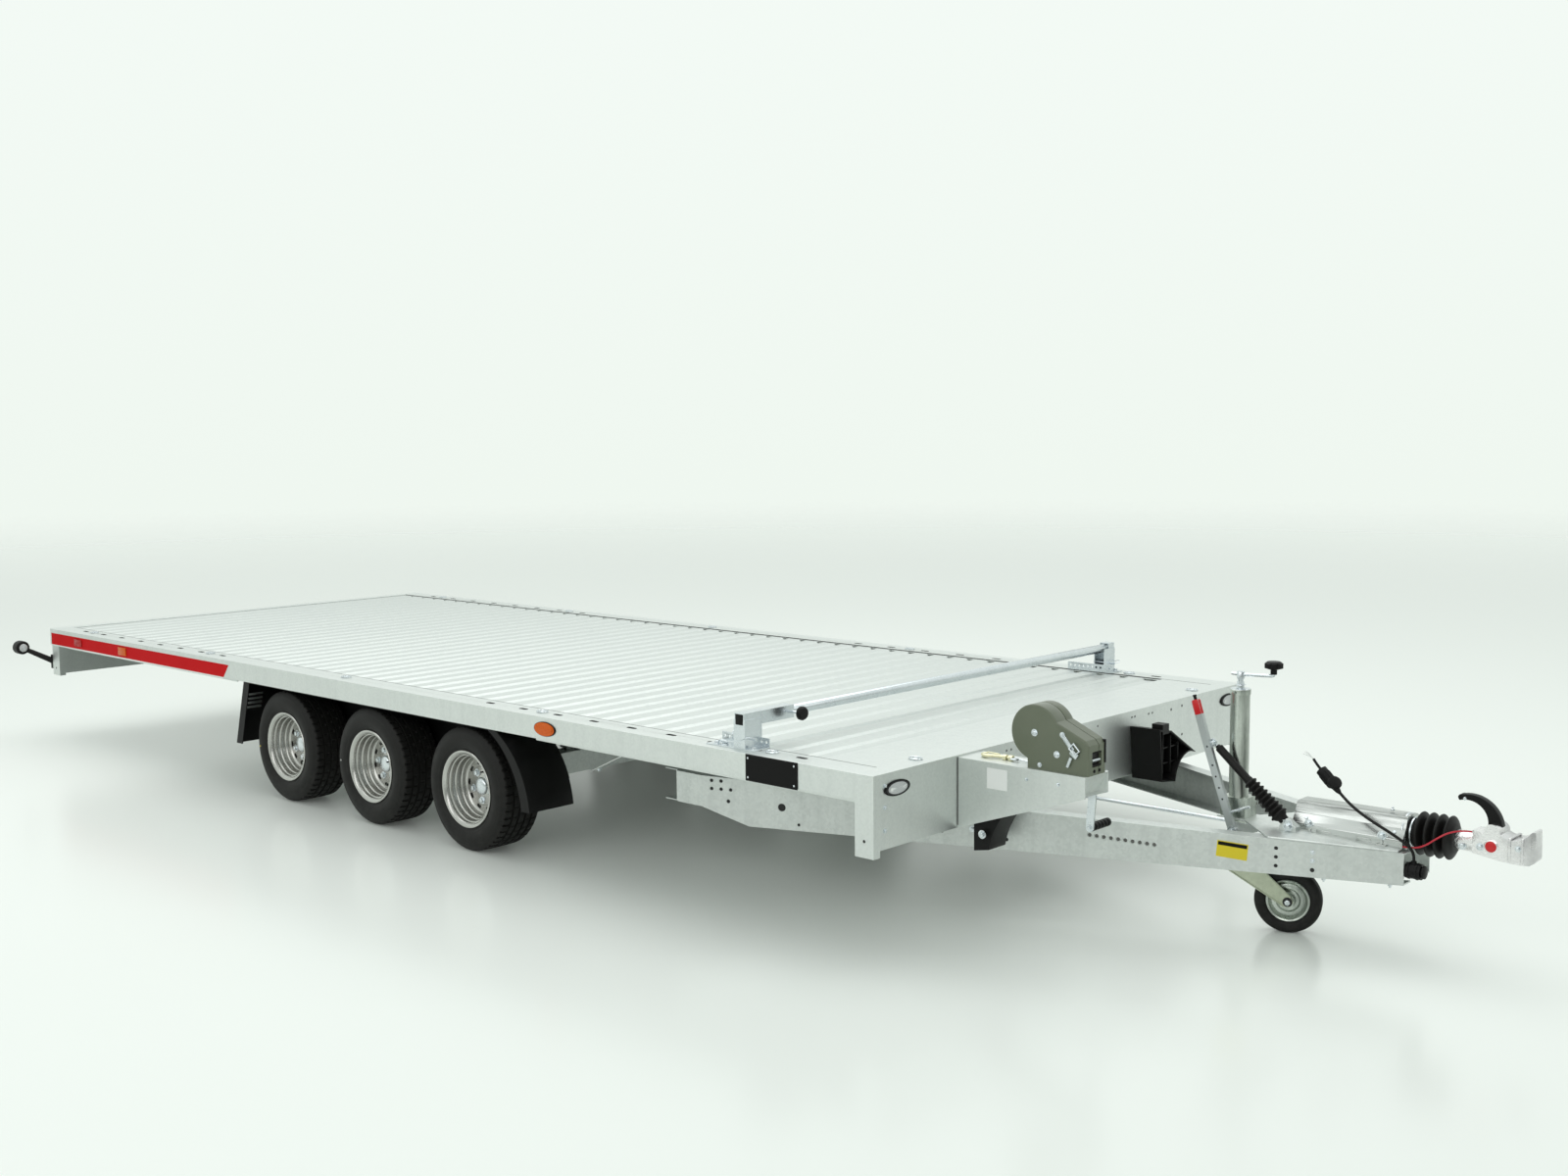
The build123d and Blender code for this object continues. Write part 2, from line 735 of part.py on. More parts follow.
# ---- Overrun housing -----------------------------------------------------------------
housing_half = housing_width / 2
with BuildPart() as overrun_housing:
    with BuildSketch(Plane.YZ.offset(housing_rear)) as housing_profile:
        with BuildLine():
            Polyline(
                (-housing_half, drawbar_bottom),
                (-housing_half, housing_shoulder - 30),
                (-housing_crown / 2 - 14, housing_shoulder),
                (-housing_crown / 2, housing_top),
                (housing_crown / 2, housing_top),
                (housing_crown / 2 + 14, housing_shoulder),
                (housing_half, housing_shoulder - 30),
                (housing_half, drawbar_bottom),
                close=True,
            )
        make_face()
        shoulders = [corner for corner in housing_profile.vertices() if corner.Y > drawbar_bottom + 1]
        fillet(shoulders, housing_fillet)
    extrude(amount=housing_length)
    # loops pressed out of both flanks, and the collar at the front
    loop_z = housing_shoulder - 30 - housing_loop_height / 2
    for side in sides.values():
        with BuildSketch(Plane.XZ.offset(-side * housing_half - (housing_press if side > 0 else 0))):
            with Locations(((housing_rear + housing_front) / 2, loop_z)):
                SlotOverall(housing_loop, housing_loop_height)
                SlotOverall(housing_loop - 3 * housing_press, housing_loop_height - 3 * housing_press, mode=Mode.SUBTRACT)
        extrude(amount=housing_press)
    with BuildSketch(Plane.YZ.offset(housing_front - housing_ring_length)):
        with Locations((0, shaft_height)):
            Circle(housing_ring)
    extrude(amount=housing_ring_length)
    with BuildSketch(Plane.XZ):
        with BuildLine():
            Polyline(
                (housing_rear, drawbar_bottom),
                (housing_rear, beam_top(housing_rear) + base_plate),
                (housing_front, beam_top(housing_front) + base_plate),
                (housing_front, drawbar_bottom),
                close=True,
            )
        make_face()
    extrude(amount=housing_width, both=True, mode=Mode.SUBTRACT)
save(overrun_housing.part, "overrun_housing")

# ---- Bellows over the overrun shaft --------------------------------------------------
bellows_start = housing_front + bellows_collar
rib_step = (bellows_length - bellows_collar) / (2 * bellows_ribs)
with BuildPart() as overrun_bellows:
    with BuildSketch(Plane.XZ):
        with BuildLine():
            valley = shaft_height + bellows_valley
            bellows_end = housing_front + bellows_length
            Polyline(
                (bellows_end, valley),
                (bellows_end, shaft_height),
                (housing_front, shaft_height),
                (housing_front, shaft_height + bellows_neck),
                (bellows_start, shaft_height + bellows_neck),
                (bellows_start, valley),
            )
            for index in range(bellows_ribs):
                x = bellows_start + 2 * index * rib_step
                ThreePointArc((x, valley), (x + rib_step, shaft_height + bellows_radius), (x + 2 * rib_step, valley))
        make_face()
    revolve(axis=Axis((0, 0, shaft_height), (1, 0, 0)))
save(overrun_bellows.part, "overrun_bellows")

# ---- Coupling head -------------------------------------------------------------------
coupling_start = housing_front + bellows_length
coupling_nose = front + coupling_reach
ball_x = coupling_nose - coupling_head_radius
head_top = shaft_height + coupling_neck + coupling_wall
head_bottom = head_top - coupling_head_depth
neck_x = coupling_start + coupling_neck_length - coupling_head_radius
boss_x = ball_x - 1.7 * coupling_head_radius
boss_radius = (coupling_boss**2 + coupling_boss_rise**2) / (2 * coupling_boss_rise)
boss_centre = Vector(boss_x, head_top + coupling_boss_rise - boss_radius)
with BuildPart() as coupling_head:
    # plan of the head: widening from the neck to the ball's housing, round at the nose
    with BuildSketch(Plane.XY.offset(head_bottom)):
        with BuildLine():
            Line((ball_x, -coupling_head_radius), (neck_x, -coupling_neck))
            Line((neck_x, -coupling_neck), (neck_x, coupling_neck))
            Line((neck_x, coupling_neck), (ball_x, coupling_head_radius))
            ThreePointArc(
                (ball_x, coupling_head_radius), (coupling_nose, 0), (ball_x, -coupling_head_radius)
            )
        make_face()
    extrude(amount=2 * coupling_head_depth)
    # side view: pivot boss, saddle and raised nose
    with BuildSketch(Plane.XZ):
        with BuildLine():
            Polyline((boss_x - coupling_boss, head_top), (neck_x, head_top), (neck_x, head_bottom + coupling_wall))
            Line((neck_x, head_bottom + coupling_wall), (ball_x - coupling_head_radius, head_bottom))
            Line((ball_x - coupling_head_radius, head_bottom), (ball_x + ball_radius + 2, head_bottom))
            ThreePointArc(
                (ball_x + ball_radius + 2, head_bottom),
                (coupling_nose - 6, head_bottom + 0.4 * coupling_chin),
                (coupling_nose, head_bottom + coupling_chin),
            )
            Line((coupling_nose, head_bottom + coupling_chin), (coupling_nose - 8, head_top + coupling_nose_rise))
            Line((coupling_nose - 8, head_top + coupling_nose_rise), (coupling_nose - 16, head_top + coupling_nose_rise))
            ThreePointArc(
                (coupling_nose - 16, head_top + coupling_nose_rise),
                (ball_x, head_top - coupling_saddle),
                (boss_x + coupling_boss, head_top),
            )
            ThreePointArc(
                (boss_x + coupling_boss, head_top),
                (boss_x, head_top + coupling_boss_rise),
                (boss_x - coupling_boss, head_top),
            )
        make_face()
    extrude(amount=2 * coupling_head_radius, both=True, mode=Mode.INTERSECT)
    with BuildSketch(Plane.YZ.offset(coupling_start)):
        with Locations((0, shaft_height)):
            Circle(coupling_neck)
    extrude(amount=coupling_neck_length)
    ball_z = head_bottom + ball_radius + coupling_wall
    with Locations((ball_x, 0, ball_z)):
        Sphere(ball_radius + ball_clearance, mode=Mode.SUBTRACT)
    with BuildSketch(Plane.XY.offset(head_bottom)):
        with Locations((ball_x, 0)):
            Circle(ball_radius + ball_clearance)
    extrude(amount=ball_z - head_bottom, mode=Mode.SUBTRACT)
save(coupling_head.part, "coupling_head")

# ---- Coupling handle: curved lever on top of the head --------------------------------
handle_half = handle_width / 2
with BuildPart() as coupling_handle:
    with BuildSketch(Plane.XZ.offset(-handle_half)):
        with BuildLine():
            foot = boss_centre + Vector(boss_radius, 0).rotate(Axis.Z, 35)
            back = boss_centre + Vector(boss_radius, 0).rotate(Axis.Z, 145)
            tip_high = (boss_x - handle_reach, head_top + handle_rise)
            tip_low = (tip_high[0] - 0.3 * handle_depth, tip_high[1] - handle_depth)
            ThreePointArc(foot, (boss_x - 0.3 * handle_reach, head_top + 0.9 * handle_rise), tip_high)
            ThreePointArc(tip_high, (tip_high[0] - 0.6 * handle_depth, tip_high[1] - 0.4 * handle_depth), tip_low)
            ThreePointArc(tip_low, (boss_x - 0.42 * handle_reach, head_top + 0.9 * handle_rise - 1.1 * handle_depth), back)
            ThreePointArc(back, boss_centre + Vector(0, boss_radius), foot)
        make_face()
    extrude(amount=handle_width)
save(coupling_handle.part, "coupling_handle")

# ---- Jockey tube with its clamp ------------------------------------------------------
clamp_from = jockey_axis[0] - clamp_length / 2
clamp_to = jockey_axis[0] + clamp_length / 2
clamp_block = prism(
    rectangle_plan(clamp_from, clamp_to, jockey_y - clamp_width / 2, jockey_y + clamp_width / 2),
    [
        (clamp_from, beam_top(clamp_from) + base_plate),
        (clamp_to, beam_top(clamp_to) + base_plate),
        (clamp_to, clamp_top),
        (clamp_from, clamp_top),
    ],
)
with BuildPart() as jockey_tube:
    add(clamp_block)
    with BuildSketch(Plane.XY.offset(jockey_tube_bottom)):
        with Locations(jockey_axis):
            Circle(jockey_tube_radius)
    extrude(amount=jockey_tube_top - jockey_tube_bottom)
    with BuildSketch(Plane.XY.offset(jockey_tube_top - jockey_collar_height)):
        with Locations(jockey_axis):
            Circle(jockey_collar)
    extrude(amount=jockey_collar_height)
    chamfer(jockey_tube.edges().filter_by(GeomType.CIRCLE).sort_by(Axis.Z)[-1], 2)
    with BuildSketch(Plane.XY.offset(jockey_tube_bottom)):
        with Locations(jockey_axis):
            Circle(jockey_leg_radius + shaft_clearance)
    extrude(amount=jockey_tube_top - jockey_cap - jockey_tube_bottom, mode=Mode.SUBTRACT)
save(jockey_tube.part, "jockey_tube")

# ---- Jockey crank: spindle, arm and round knob ---------------------------------------
knob_bottom = crank_height + 14
with BuildPart() as jockey_crank:
    with BuildSketch(Plane.XY.offset(jockey_tube_top)):
        with Locations(jockey_axis):
            Circle(crank_rod + 4)
    extrude(amount=crank_height + crank_rod - jockey_tube_top)
    with BuildSketch(Plane.YZ.offset(jockey_axis[0])):
        with Locations((jockey_y, crank_height)):
            Circle(crank_rod)
    extrude(amount=crank_radius + crank_rod)
save(jockey_crank.part, "jockey_crank")

with BuildPart() as jockey_knob:
    with BuildSketch(Plane.XZ.offset(-jockey_y)):
        with BuildLine():
            x = jockey_axis[0] + crank_radius
            Polyline(
                (x, crank_height + crank_rod),
                (x + 10, crank_height + crank_rod),
                (x + 10, knob_bottom + knob_foot / 2),
                (x + knob_radius, knob_bottom + knob_foot),
                (x + knob_radius, knob_bottom + knob_height),
                (x + knob_radius - 8, knob_bottom + knob_height + knob_foot / 2),
                (x, knob_bottom + knob_height + knob_foot / 2),
                close=True,
            )
        make_face()
    revolve(axis=Axis((jockey_axis[0] + crank_radius, jockey_y, 0), (0, 0, 1)))
    with BuildSketch(Plane.XY.offset(knob_bottom + knob_foot)):
        with Locations((jockey_axis[0] + crank_radius, jockey_y)):
            with PolarLocations(knob_radius + knob_flute / 2, knob_flutes):
                Circle(knob_flute)
    extrude(amount=knob_height, mode=Mode.SUBTRACT)
save(jockey_knob.part, "jockey_knob")

# ---- Jockey leg: slides in the tube, with the king pin at its foot -------------------
with BuildPart() as jockey_leg:
    with BuildSketch(Plane.XZ.offset(-jockey_y)):
        with BuildLine():
            x = jockey_axis[0]
            pin_bottom = crown_height - crown_wall - 2 * shaft_clearance
            Polyline(
                (x, jockey_leg_top),
                (x + jockey_leg_radius, jockey_leg_top),
                (x + jockey_leg_radius, crown_height),
                (x + king_pin, crown_height),
                (x + king_pin, pin_bottom),
                (x + pin_head, pin_bottom),
                (x + pin_head, pin_bottom - crown_wall),
                (x, pin_bottom - crown_wall),
                close=True,
            )
        make_face()
    revolve(axis=Axis((jockey_axis[0], jockey_y, 0), (0, 0, 1)))
save(jockey_leg.part, "jockey_leg")

# ---- Jockey fork: crown plate, two cheeks and the axle pin ---------------------------
heading = Plane(origin=(jockey_axis[0], jockey_y, 0)).rotated((0, 0, jockey_heading))
cheek_inner = jockey_wheel_width / 2 + fork_gap
crown_top = crown_height - shaft_clearance
with BuildPart(heading) as jockey_fork:
    with BuildSketch(heading.offset(crown_top - crown_wall)):
        Rectangle(2 * crown_reach, 2 * (cheek_inner + fork_wall))
        Circle(king_pin + shaft_clearance, mode=Mode.SUBTRACT)
    extrude(amount=crown_wall)
side_plane = Plane(origin=heading.origin, x_dir=heading.x_dir, z_dir=-heading.y_dir)
with BuildPart() as fork_cheeks:
    for cheek in (cheek_inner, -cheek_inner - fork_wall):
        with BuildSketch(side_plane.offset(cheek)):
            with BuildLine():
                Polyline(
                    (-crown_reach, crown_top),
                    (crown_reach, crown_top),
                    (jockey_trail + 8, jockey_wheel_radius + 18),
                    (jockey_trail + 18, jockey_wheel_radius),
                    (jockey_trail + 8, jockey_wheel_radius - 16),
                    (jockey_trail - 12, jockey_wheel_radius - 16),
                    (-crown_reach, crown_top - 50),
                    close=True,
                )
            make_face()
        extrude(amount=fork_wall)
    with BuildSketch(side_plane.offset(-cheek_inner)):
        with Locations((jockey_trail, jockey_wheel_radius)):
            Circle(axle_pin)
    extrude(amount=2 * cheek_inner)
with BuildPart() as fork_whole:
    add(jockey_fork.part)
    add(fork_cheeks.part)
save(fork_whole.part, "jockey_fork")

# ---- Jockey wheel: rim with a bored hub, and a solid rubber tyre ---------------------
wheel_origin = heading.origin + heading.x_dir * jockey_trail + Vector(0, 0, jockey_wheel_radius)
spin = Plane(origin=wheel_origin, x_dir=heading.x_dir, z_dir=-heading.y_dir)
spin_section = Plane(origin=wheel_origin, x_dir=spin.x_dir, z_dir=Vector(0, 0, -1))
half_tread = jockey_wheel_width / 2
with BuildPart() as jockey_rim:
    with BuildSketch(spin.offset(-half_tread + 6)):
        Circle(jockey_rim_radius - bead_clearance)
        Circle(jockey_rim_radius - 6, mode=Mode.SUBTRACT)
    extrude(amount=2 * (half_tread - 6))
    with BuildSketch(spin.offset(-4)):
        Circle(jockey_rim_radius - 5)
        Circle(axle_pin + shaft_clearance, mode=Mode.SUBTRACT)
    extrude(amount=8)
    with BuildSketch(spin.offset(-half_tread)):
        Circle(jockey_hub_radius)
        Circle(axle_pin + shaft_clearance, mode=Mode.SUBTRACT)
    extrude(amount=jockey_wheel_width)
save(jockey_rim.part, "jockey_rim")

with BuildPart() as jockey_tyre:
    with BuildSketch(spin.offset(-half_tread)):
        Circle(jockey_wheel_radius)
        Circle(jockey_rim_radius, mode=Mode.SUBTRACT)
    extrude(amount=jockey_wheel_width)
    outer_edges = jockey_tyre.edges().filter_by(GeomType.CIRCLE).group_by(SortBy.RADIUS)[-1]
    chamfer(outer_edges, 9)
save(jockey_tyre.part, "jockey_tyre")

# ---- Road wheels: tyre and rim with its brake drum -----------------------------------
tyre_half = tyre_width / 2
tread_half = tread_width / 2
rim_half = rim_width / 2
for place, axle_x in axles.items():
    for side_name, side in sides.items():
        wheel_plane = Plane(origin=(axle_x, side * wheel_y, tyre_radius), x_dir=(0, side, 0), z_dir=(1, 0, 0))
        wheel_axis = Axis((axle_x, 0, tyre_radius), (0, 1, 0))
        with BuildPart() as tyre:
            with BuildSketch(wheel_plane):
                with BuildLine():
                    Polyline(
                        (-rim_half + 8, bead_radius),
                        (-rim_half + 8, rim_radius + 2),
                        (-tyre_half, rim_radius + 40),
                        (-tyre_half + 4, tyre_radius - shoulder_drop),
                        (-tread_half, tyre_radius),
                        (tread_half, tyre_radius),
                        (tyre_half - 4, tyre_radius - shoulder_drop),
                        (tyre_half, rim_radius + 40),
                        (rim_half - 8, rim_radius + 2),
                        (rim_half - 8, bead_radius),
                        close=True,
                    )
                make_face()
            revolve(axis=wheel_axis)
        save(tyre.part, f"tyre_{place}_{side_name}")
        with BuildPart() as rim:
            with BuildSketch(wheel_plane):
                with BuildLine():
                    bed = bead_radius - bead_clearance
                    bead_face = rim_half - 8 + bead_clearance
                    Polyline(
                        (rim_half, rim_radius),
                        (rim_half - 2, bead_radius - 5),
                        (18, dish_radius + 12),
                        (2, dish_radius),
                        (0, cap_radius),
                        (cap_height - 6, cap_radius - 4),
                        (cap_height, 0),
                        (-stub_depth, 0),
                        (-stub_depth, stub_radius + shaft_clearance),
                        (-12 - drum_width, stub_radius + shaft_clearance),
                        (-12 - drum_width, drum_radius),
                        (-12, drum_radius),
                        (-12, dish_radius + 8),
                        (-rim_half + 4, rim_radius - 26),
                        (-rim_half, rim_radius),
                        (-bead_face, rim_radius),
                        (-bead_face, bed),
                        (bead_face, bed),
                        (bead_face, rim_radius),
                        close=True,
                    )
                make_face()
            revolve(axis=wheel_axis)
        save(rim.part, f"rim_{place}_{side_name}")

# ---- Axles: square tube on hangers, trailing arms, backplates and stubs --------------
hub_inner = wheel_y - 12 - drum_width - drum_gap
for place, axle_x in axles.items():
    tube_x = axle_x + arm_length
    with BuildPart() as axle:
        with BuildSketch(Plane.XZ):
            with Locations((tube_x, axle_height)):
                Rectangle(axle_tube, axle_tube)
                Rectangle(axle_tube - 2 * axle_wall, axle_tube - 2 * axle_wall, mode=Mode.SUBTRACT)
        extrude(amount=axle_half_length, both=True)
        for side in sides.values():
            tube_end = side * axle_half_length
            arm_face = side * (axle_half_length + arm_thickness)
            with BuildSketch(Plane.XZ.offset(-max(tube_end, arm_face))):
                with BuildLine():
                    low = arm_width / 2
                    Polyline(
                        (tube_x + axle_tube / 2, axle_height + axle_tube / 2),
                        (tube_x - axle_tube / 2, axle_height + axle_tube / 2),
                        (axle_x - low, tyre_radius + low * 0.6),
                        (axle_x - low, tyre_radius - low * 0.6),
                        (axle_x - low * 0.6, tyre_radius - low),
                        (axle_x + low * 0.6, tyre_radius - low),
                        (tube_x + axle_tube / 2, axle_height - axle_tube / 2),
                        close=True,
                    )
                make_face()
            extrude(amount=arm_thickness)
            outward = Plane(origin=(axle_x, arm_face, tyre_radius), x_dir=(1, 0, 0), z_dir=(0, side, 0))
            with BuildSketch(outward):
                Circle(hub_radius)
            extrude(amount=hub_inner - axle_half_length - arm_thickness)
            with BuildSketch(outward.offset(hub_inner - backplate_wall - axle_half_length - arm_thickness)):
                Circle(drum_radius + 4)
            extrude(amount=backplate_wall)
            with BuildSketch(outward):
                Circle(stub_radius)
            extrude(amount=wheel_y - stub_depth - 2 - axle_half_length - arm_thickness)
            with BuildSketch(Plane.XY.offset(axle_height + axle_tube / 2)):
                with Locations((tube_x, side * beam_y)):
                    Rectangle(hanger_length, hanger_wall)
                    Rectangle(hanger_wall, beam_width)
            extrude(amount=beam_bottom - axle_height - axle_tube / 2)
    save(axle.part, f"axle_{place}")

# ---- Mudguards: one long liner each side, with a skirt at both ends ------------------
guard_outer = half_width - 5
liner = mudguard_wall / 2
liner_top = fascia_bottom - liner
rear_x = axles["rear"]
front_x = axles["front"]
front_skirt = ThreePointArc(
    (front_x + front_skirt_top, liner_top),
    (front_x + front_skirt_bulge, skirt_bulge_height),
    (front_x + front_skirt_bottom, skirt_height),
)


def skirt_x(z):
    # how far forward the front skirt reaches at a height
    return front_skirt.arc_center.X + (front_skirt.radius**2 - (z - front_skirt.arc_center.Y) ** 2) ** 0.5


with BuildPart() as mudguard:
    with BuildSketch(Plane.XZ.offset(guard_outer - mudguard_width)):
        with BuildLine():
            Line((rear_x - rear_skirt_bottom, skirt_height), (rear_x - rear_skirt_top, liner_top))
            Line((rear_x - rear_skirt_top, liner_top), (front_x + front_skirt_top, liner_top))
            ThreePointArc(
                (front_x + front_skirt_top, liner_top),
                (front_x + front_skirt_bulge, skirt_bulge_height),
                (front_x + front_skirt_bottom, skirt_height),
            )
        trace(line_width=mudguard_wall)
    extrude(amount=mudguard_width)
    # inner wall above the hubs
    rise = (inner_wall_height - skirt_height) / (liner_top - skirt_height)
    with BuildSketch(Plane.XZ.offset(guard_outer - mudguard_width - mudguard_wall)):
        with BuildLine():
            Polyline(
                (front_x + front_skirt_top, liner_top),
                (front_x + front_skirt_top, fascia_bottom),
                (rear_x - rear_skirt_top, fascia_bottom),
                (rear_x - rear_skirt_bottom + rise * (rear_skirt_bottom - rear_skirt_top), inner_wall_height),
                (skirt_x(inner_wall_height), inner_wall_height),
            )
            ThreePointArc(
                (skirt_x(inner_wall_height), inner_wall_height),
                (front_x + front_skirt_bulge, skirt_bulge_height),
                (front_x + front_skirt_top, liner_top),
            )
        make_face()
    extrude(amount=mudguard_wall)
    with BuildSketch(Plane.XZ.offset(guard_outer - mudguard_wall)):
        with BuildLine():
            Polyline(
                (rear_x - rear_skirt_bottom, skirt_height),
                (rear_x - rear_skirt_top, liner_top),
                (rear_x - rear_skirt_top + mudguard_lip, liner_top),
                (rear_x - rear_skirt_bottom + mudguard_lip, skirt_height),
                close=True,
            )
        make_face()
        with BuildLine():
            ThreePointArc(
                (front_x + front_skirt_top, liner_top),
                (front_x + front_skirt_bulge, skirt_bulge_height),
                (front_x + front_skirt_bottom, skirt_height),
            )
            Line((front_x + front_skirt_bottom, skirt_height), (front_x + front_skirt_bottom - mudguard_lip, skirt_height))
            ThreePointArc(
                (front_x + front_skirt_bottom - mudguard_lip, skirt_height),
                (front_x + front_skirt_bulge - mudguard_lip, skirt_bulge_height),
                (front_x + front_skirt_top - mudguard_lip, liner_top),
            )
            Line((front_x + front_skirt_top - mudguard_lip, liner_top), (front_x + front_skirt_top, liner_top))
        make_face()
    extrude(amount=mudguard_wall)
save_pair(mudguard.part, "mudguard")

# ---- Wheel stop bar across the deck, in sleeves on perforated rails ------------------
stop_x = front - stop_setback
stop_z = deck_height + stop_height
sleeve_half = stop_sleeve / 2
rail_y = half_width - stop_inset
sleeve_bore = stop_bar_radius + shaft_clearance
with BuildPart() as stop_bar:
    with BuildSketch(Plane.XZ):
        with Locations((stop_x, stop_z)):
            Circle(stop_bar_radius)
    extrude(amount=rail_y - 8, both=True)
save(stop_bar.part, "stop_bar")

with BuildPart() as stop_brackets:
    # near side: open sleeve on an upright, far side: short sleeve
    for side, sleeve_length in ((-1, stop_sleeve_length), (1, stop_sleeve)):
        y_outer = side * rail_y
        y_inner = side * (rail_y - sleeve_length)
        low, high = min(y_outer, y_inner), max(y_outer, y_inner)
        with BuildSketch(Plane.XZ.offset(-high)):
            with Locations((stop_x, stop_z)):
                Rectangle(stop_sleeve, stop_sleeve)
                Rectangle(2 * sleeve_bore, 2 * sleeve_bore, mode=Mode.SUBTRACT)
        extrude(amount=high - low)
        # folded upright, open towards the middle of the deck
        with BuildSketch(Plane.XY.offset(deck_height + stop_plate_wall)):
            with Locations((stop_x, side * (rail_y - stop_plate_height / 2))):
                Rectangle(stop_sleeve + 2 * stop_plate_wall, stop_plate_height)
            with Locations((stop_x, side * (rail_y - stop_plate_height / 2 - stop_plate_wall))):
                Rectangle(stop_sleeve, stop_plate_height, mode=Mode.SUBTRACT)
        extrude(amount=stop_height - stop_plate_wall)
        # angle with a row of holes, along the rail
        with BuildSketch(Plane.XY.offset(deck_height)):
            with Locations((stop_x - stop_rail_shift, side * (rail_y - stop_plate_height / 2))):
                Rectangle(stop_rail_length, stop_plate_height)
        extrude(amount=stop_plate_wall)
        strip_y = side * (rail_y - stop_plate_height)
        with BuildSketch(Plane.XZ.offset(-strip_y - (0 if side < 0 else stop_plate_wall))):
            with Locations((stop_x - stop_rail_shift, deck_height)):
                Rectangle(stop_rail_length, stop_strip, align=(Align.CENTER, Align.MIN))
            with Locations((stop_x - stop_rail_shift, deck_height + 0.58 * stop_strip)):
                with GridLocations(stop_hole_pitch, 1, stop_holes, 1):
                    Circle(stop_hole, mode=Mode.SUBTRACT)
        extrude(amount=stop_plate_wall)
save(stop_brackets.part, "stop_brackets")

star_x = stop_x + sleeve_half
with BuildPart() as stop_knob:
    with BuildSketch(Plane.YZ.offset(star_x)):
        with Locations((-rail_y + stop_sleeve_length - star_knob_radius, stop_z)):
            Circle(6)
    extrude(amount=18)
    with BuildSketch(Plane.YZ.offset(star_x + 18)):
        with Locations((-rail_y + stop_sleeve_length - star_knob_radius, stop_z)):
            Circle(star_knob_radius)
    extrude(amount=16)
save(stop_knob.part, "stop_knob")

# ---- Winch bracket: folded sheet box reaching forward from the front panel ----------
box_mid = -winch_box_outer + winch_box_width / 2
box_front = front + winch_box_reach


def box_bottom(x):
    return panel_bottom + (x - front) * (winch_box_top - winch_box_nose - panel_bottom) / winch_box_reach


box_slope = [
    (front, panel_bottom),
    (front, winch_box_top),
    (box_front, winch_box_top),
    (box_front, winch_box_top - winch_box_nose),
]
with BuildPart() as winch_box:
    with BuildSketch(Plane.XZ.offset(winch_box_outer - winch_box_width)):
        with BuildLine():
            Polyline(*box_slope, close=True)
        make_face()
    extrude(amount=winch_box_width)
    with BuildSketch(Plane.YZ.offset(front)):
        with Locations((box_mid, winch_box_top - winch_box_wall)):
            Rectangle(
                winch_box_width - 2 * winch_box_wall,
                winch_box_top - panel_bottom,
                align=(Align.CENTER, Align.MAX),
            )
    extrude(amount=winch_box_reach, mode=Mode.SUBTRACT)
save(winch_box.part, "winch_box")

# ---- Winch: round drum cover with a neck and a square nose ---------------------------
winch_x = front + winch_reach
winch_outer = winch_box_outer - winch_inset
with BuildPart() as winch_body:
    with BuildSketch(Plane.XZ.offset(winch_outer - winch_width)) as winch_profile:
        with Locations((winch_x, winch_axis_height)):
            Circle(winch_radius)
        with BuildLine():
            Polyline(
                (winch_x - winch_neck, winch_box_top),
                (winch_x - winch_neck, winch_axis_height),
                (winch_x + 60, winch_axis_height + 46),
                (winch_x + winch_nose_reach - 12, winch_box_top + winch_nose_height),
                (winch_x + winch_nose_reach, winch_box_top + winch_nose_height - 14),
                (winch_x + winch_nose_reach, winch_box_top),
                close=True,
            )
        make_face()
    winch_outline = winch_profile.sketch
    extrude(amount=winch_width)
    cover_edges = winch_body.faces().sort_by(Axis.Y)[0].edges().filter_by(lambda edge: edge.center().Z > winch_box_top + 1)
    fillet(cover_edges, winch_round)
    # the two halves of the cover meet in a groove
    with BuildSketch(Plane.XZ.offset(winch_outer - winch_cover)):
        add(winch_outline)
        offset(winch_outline, amount=-winch_seam, mode=Mode.SUBTRACT)
    extrude(amount=winch_seam, mode=Mode.SUBTRACT)
    mouth_x = winch_x + winch_nose_reach
    with BuildSketch(Plane.YZ.offset(mouth_x - winch_mouth_depth)):
        with Locations((-winch_outer + winch_width / 2, winch_box_top + winch_nose_height / 2 - winch_round)):
            RectangleRounded(winch_mouth_width, winch_mouth_height, winch_round)
    extrude(amount=winch_mouth_depth, mode=Mode.SUBTRACT)
save(winch_body.part, "winch_body")

# ---- Winch crank: shaft from the winch, arm and grip ---------------------------------
crank_x = front + crank_axis_reach
crank_face = -winch_outer + winch_width
arm_y = -winch_box_outer + winch_box_width + 10
with BuildPart() as winch_crank:
    with BuildSketch(Plane.XZ.offset(-arm_y)):
        with Locations((crank_x, crank_axis_height)):
            Circle(9)
    extrude(amount=arm_y - crank_face)
    with BuildSketch(Plane.XZ.offset(-arm_y - 6)):
        with Locations((crank_x - crank_lean / 2, crank_axis_height - crank_arm / 2)):
            SlotOverall(crank_arm + crank_flat, crank_flat, rotation=90 - 180 * crank_lean / crank_arm / pi)
    extrude(amount=6)
save(winch_crank.part, "winch_crank")

with BuildPart() as winch_grip:
    with BuildSketch(Plane.XZ.offset(-arm_y - 6 - crank_grip)):
        with Locations((crank_x - crank_lean, crank_axis_height - crank_arm)):
            Circle(grip_radius)
    extrude(amount=crank_grip)
    # finger grooves round the grip
    for index in range(grip_grooves):
        groove_y = arm_y + 6 + (index + 0.8) * crank_grip / (grip_grooves + 0.6)
        with BuildSketch(Plane.XZ.offset(-groove_y)):
            with Locations((crank_x - crank_lean, crank_axis_height - crank_arm)):
                Circle(2 * grip_radius)
                Circle(grip_radius - 2, mode=Mode.SUBTRACT)
        extrude(amount=4, mode=Mode.SUBTRACT)
save(winch_grip.part, "winch_grip")

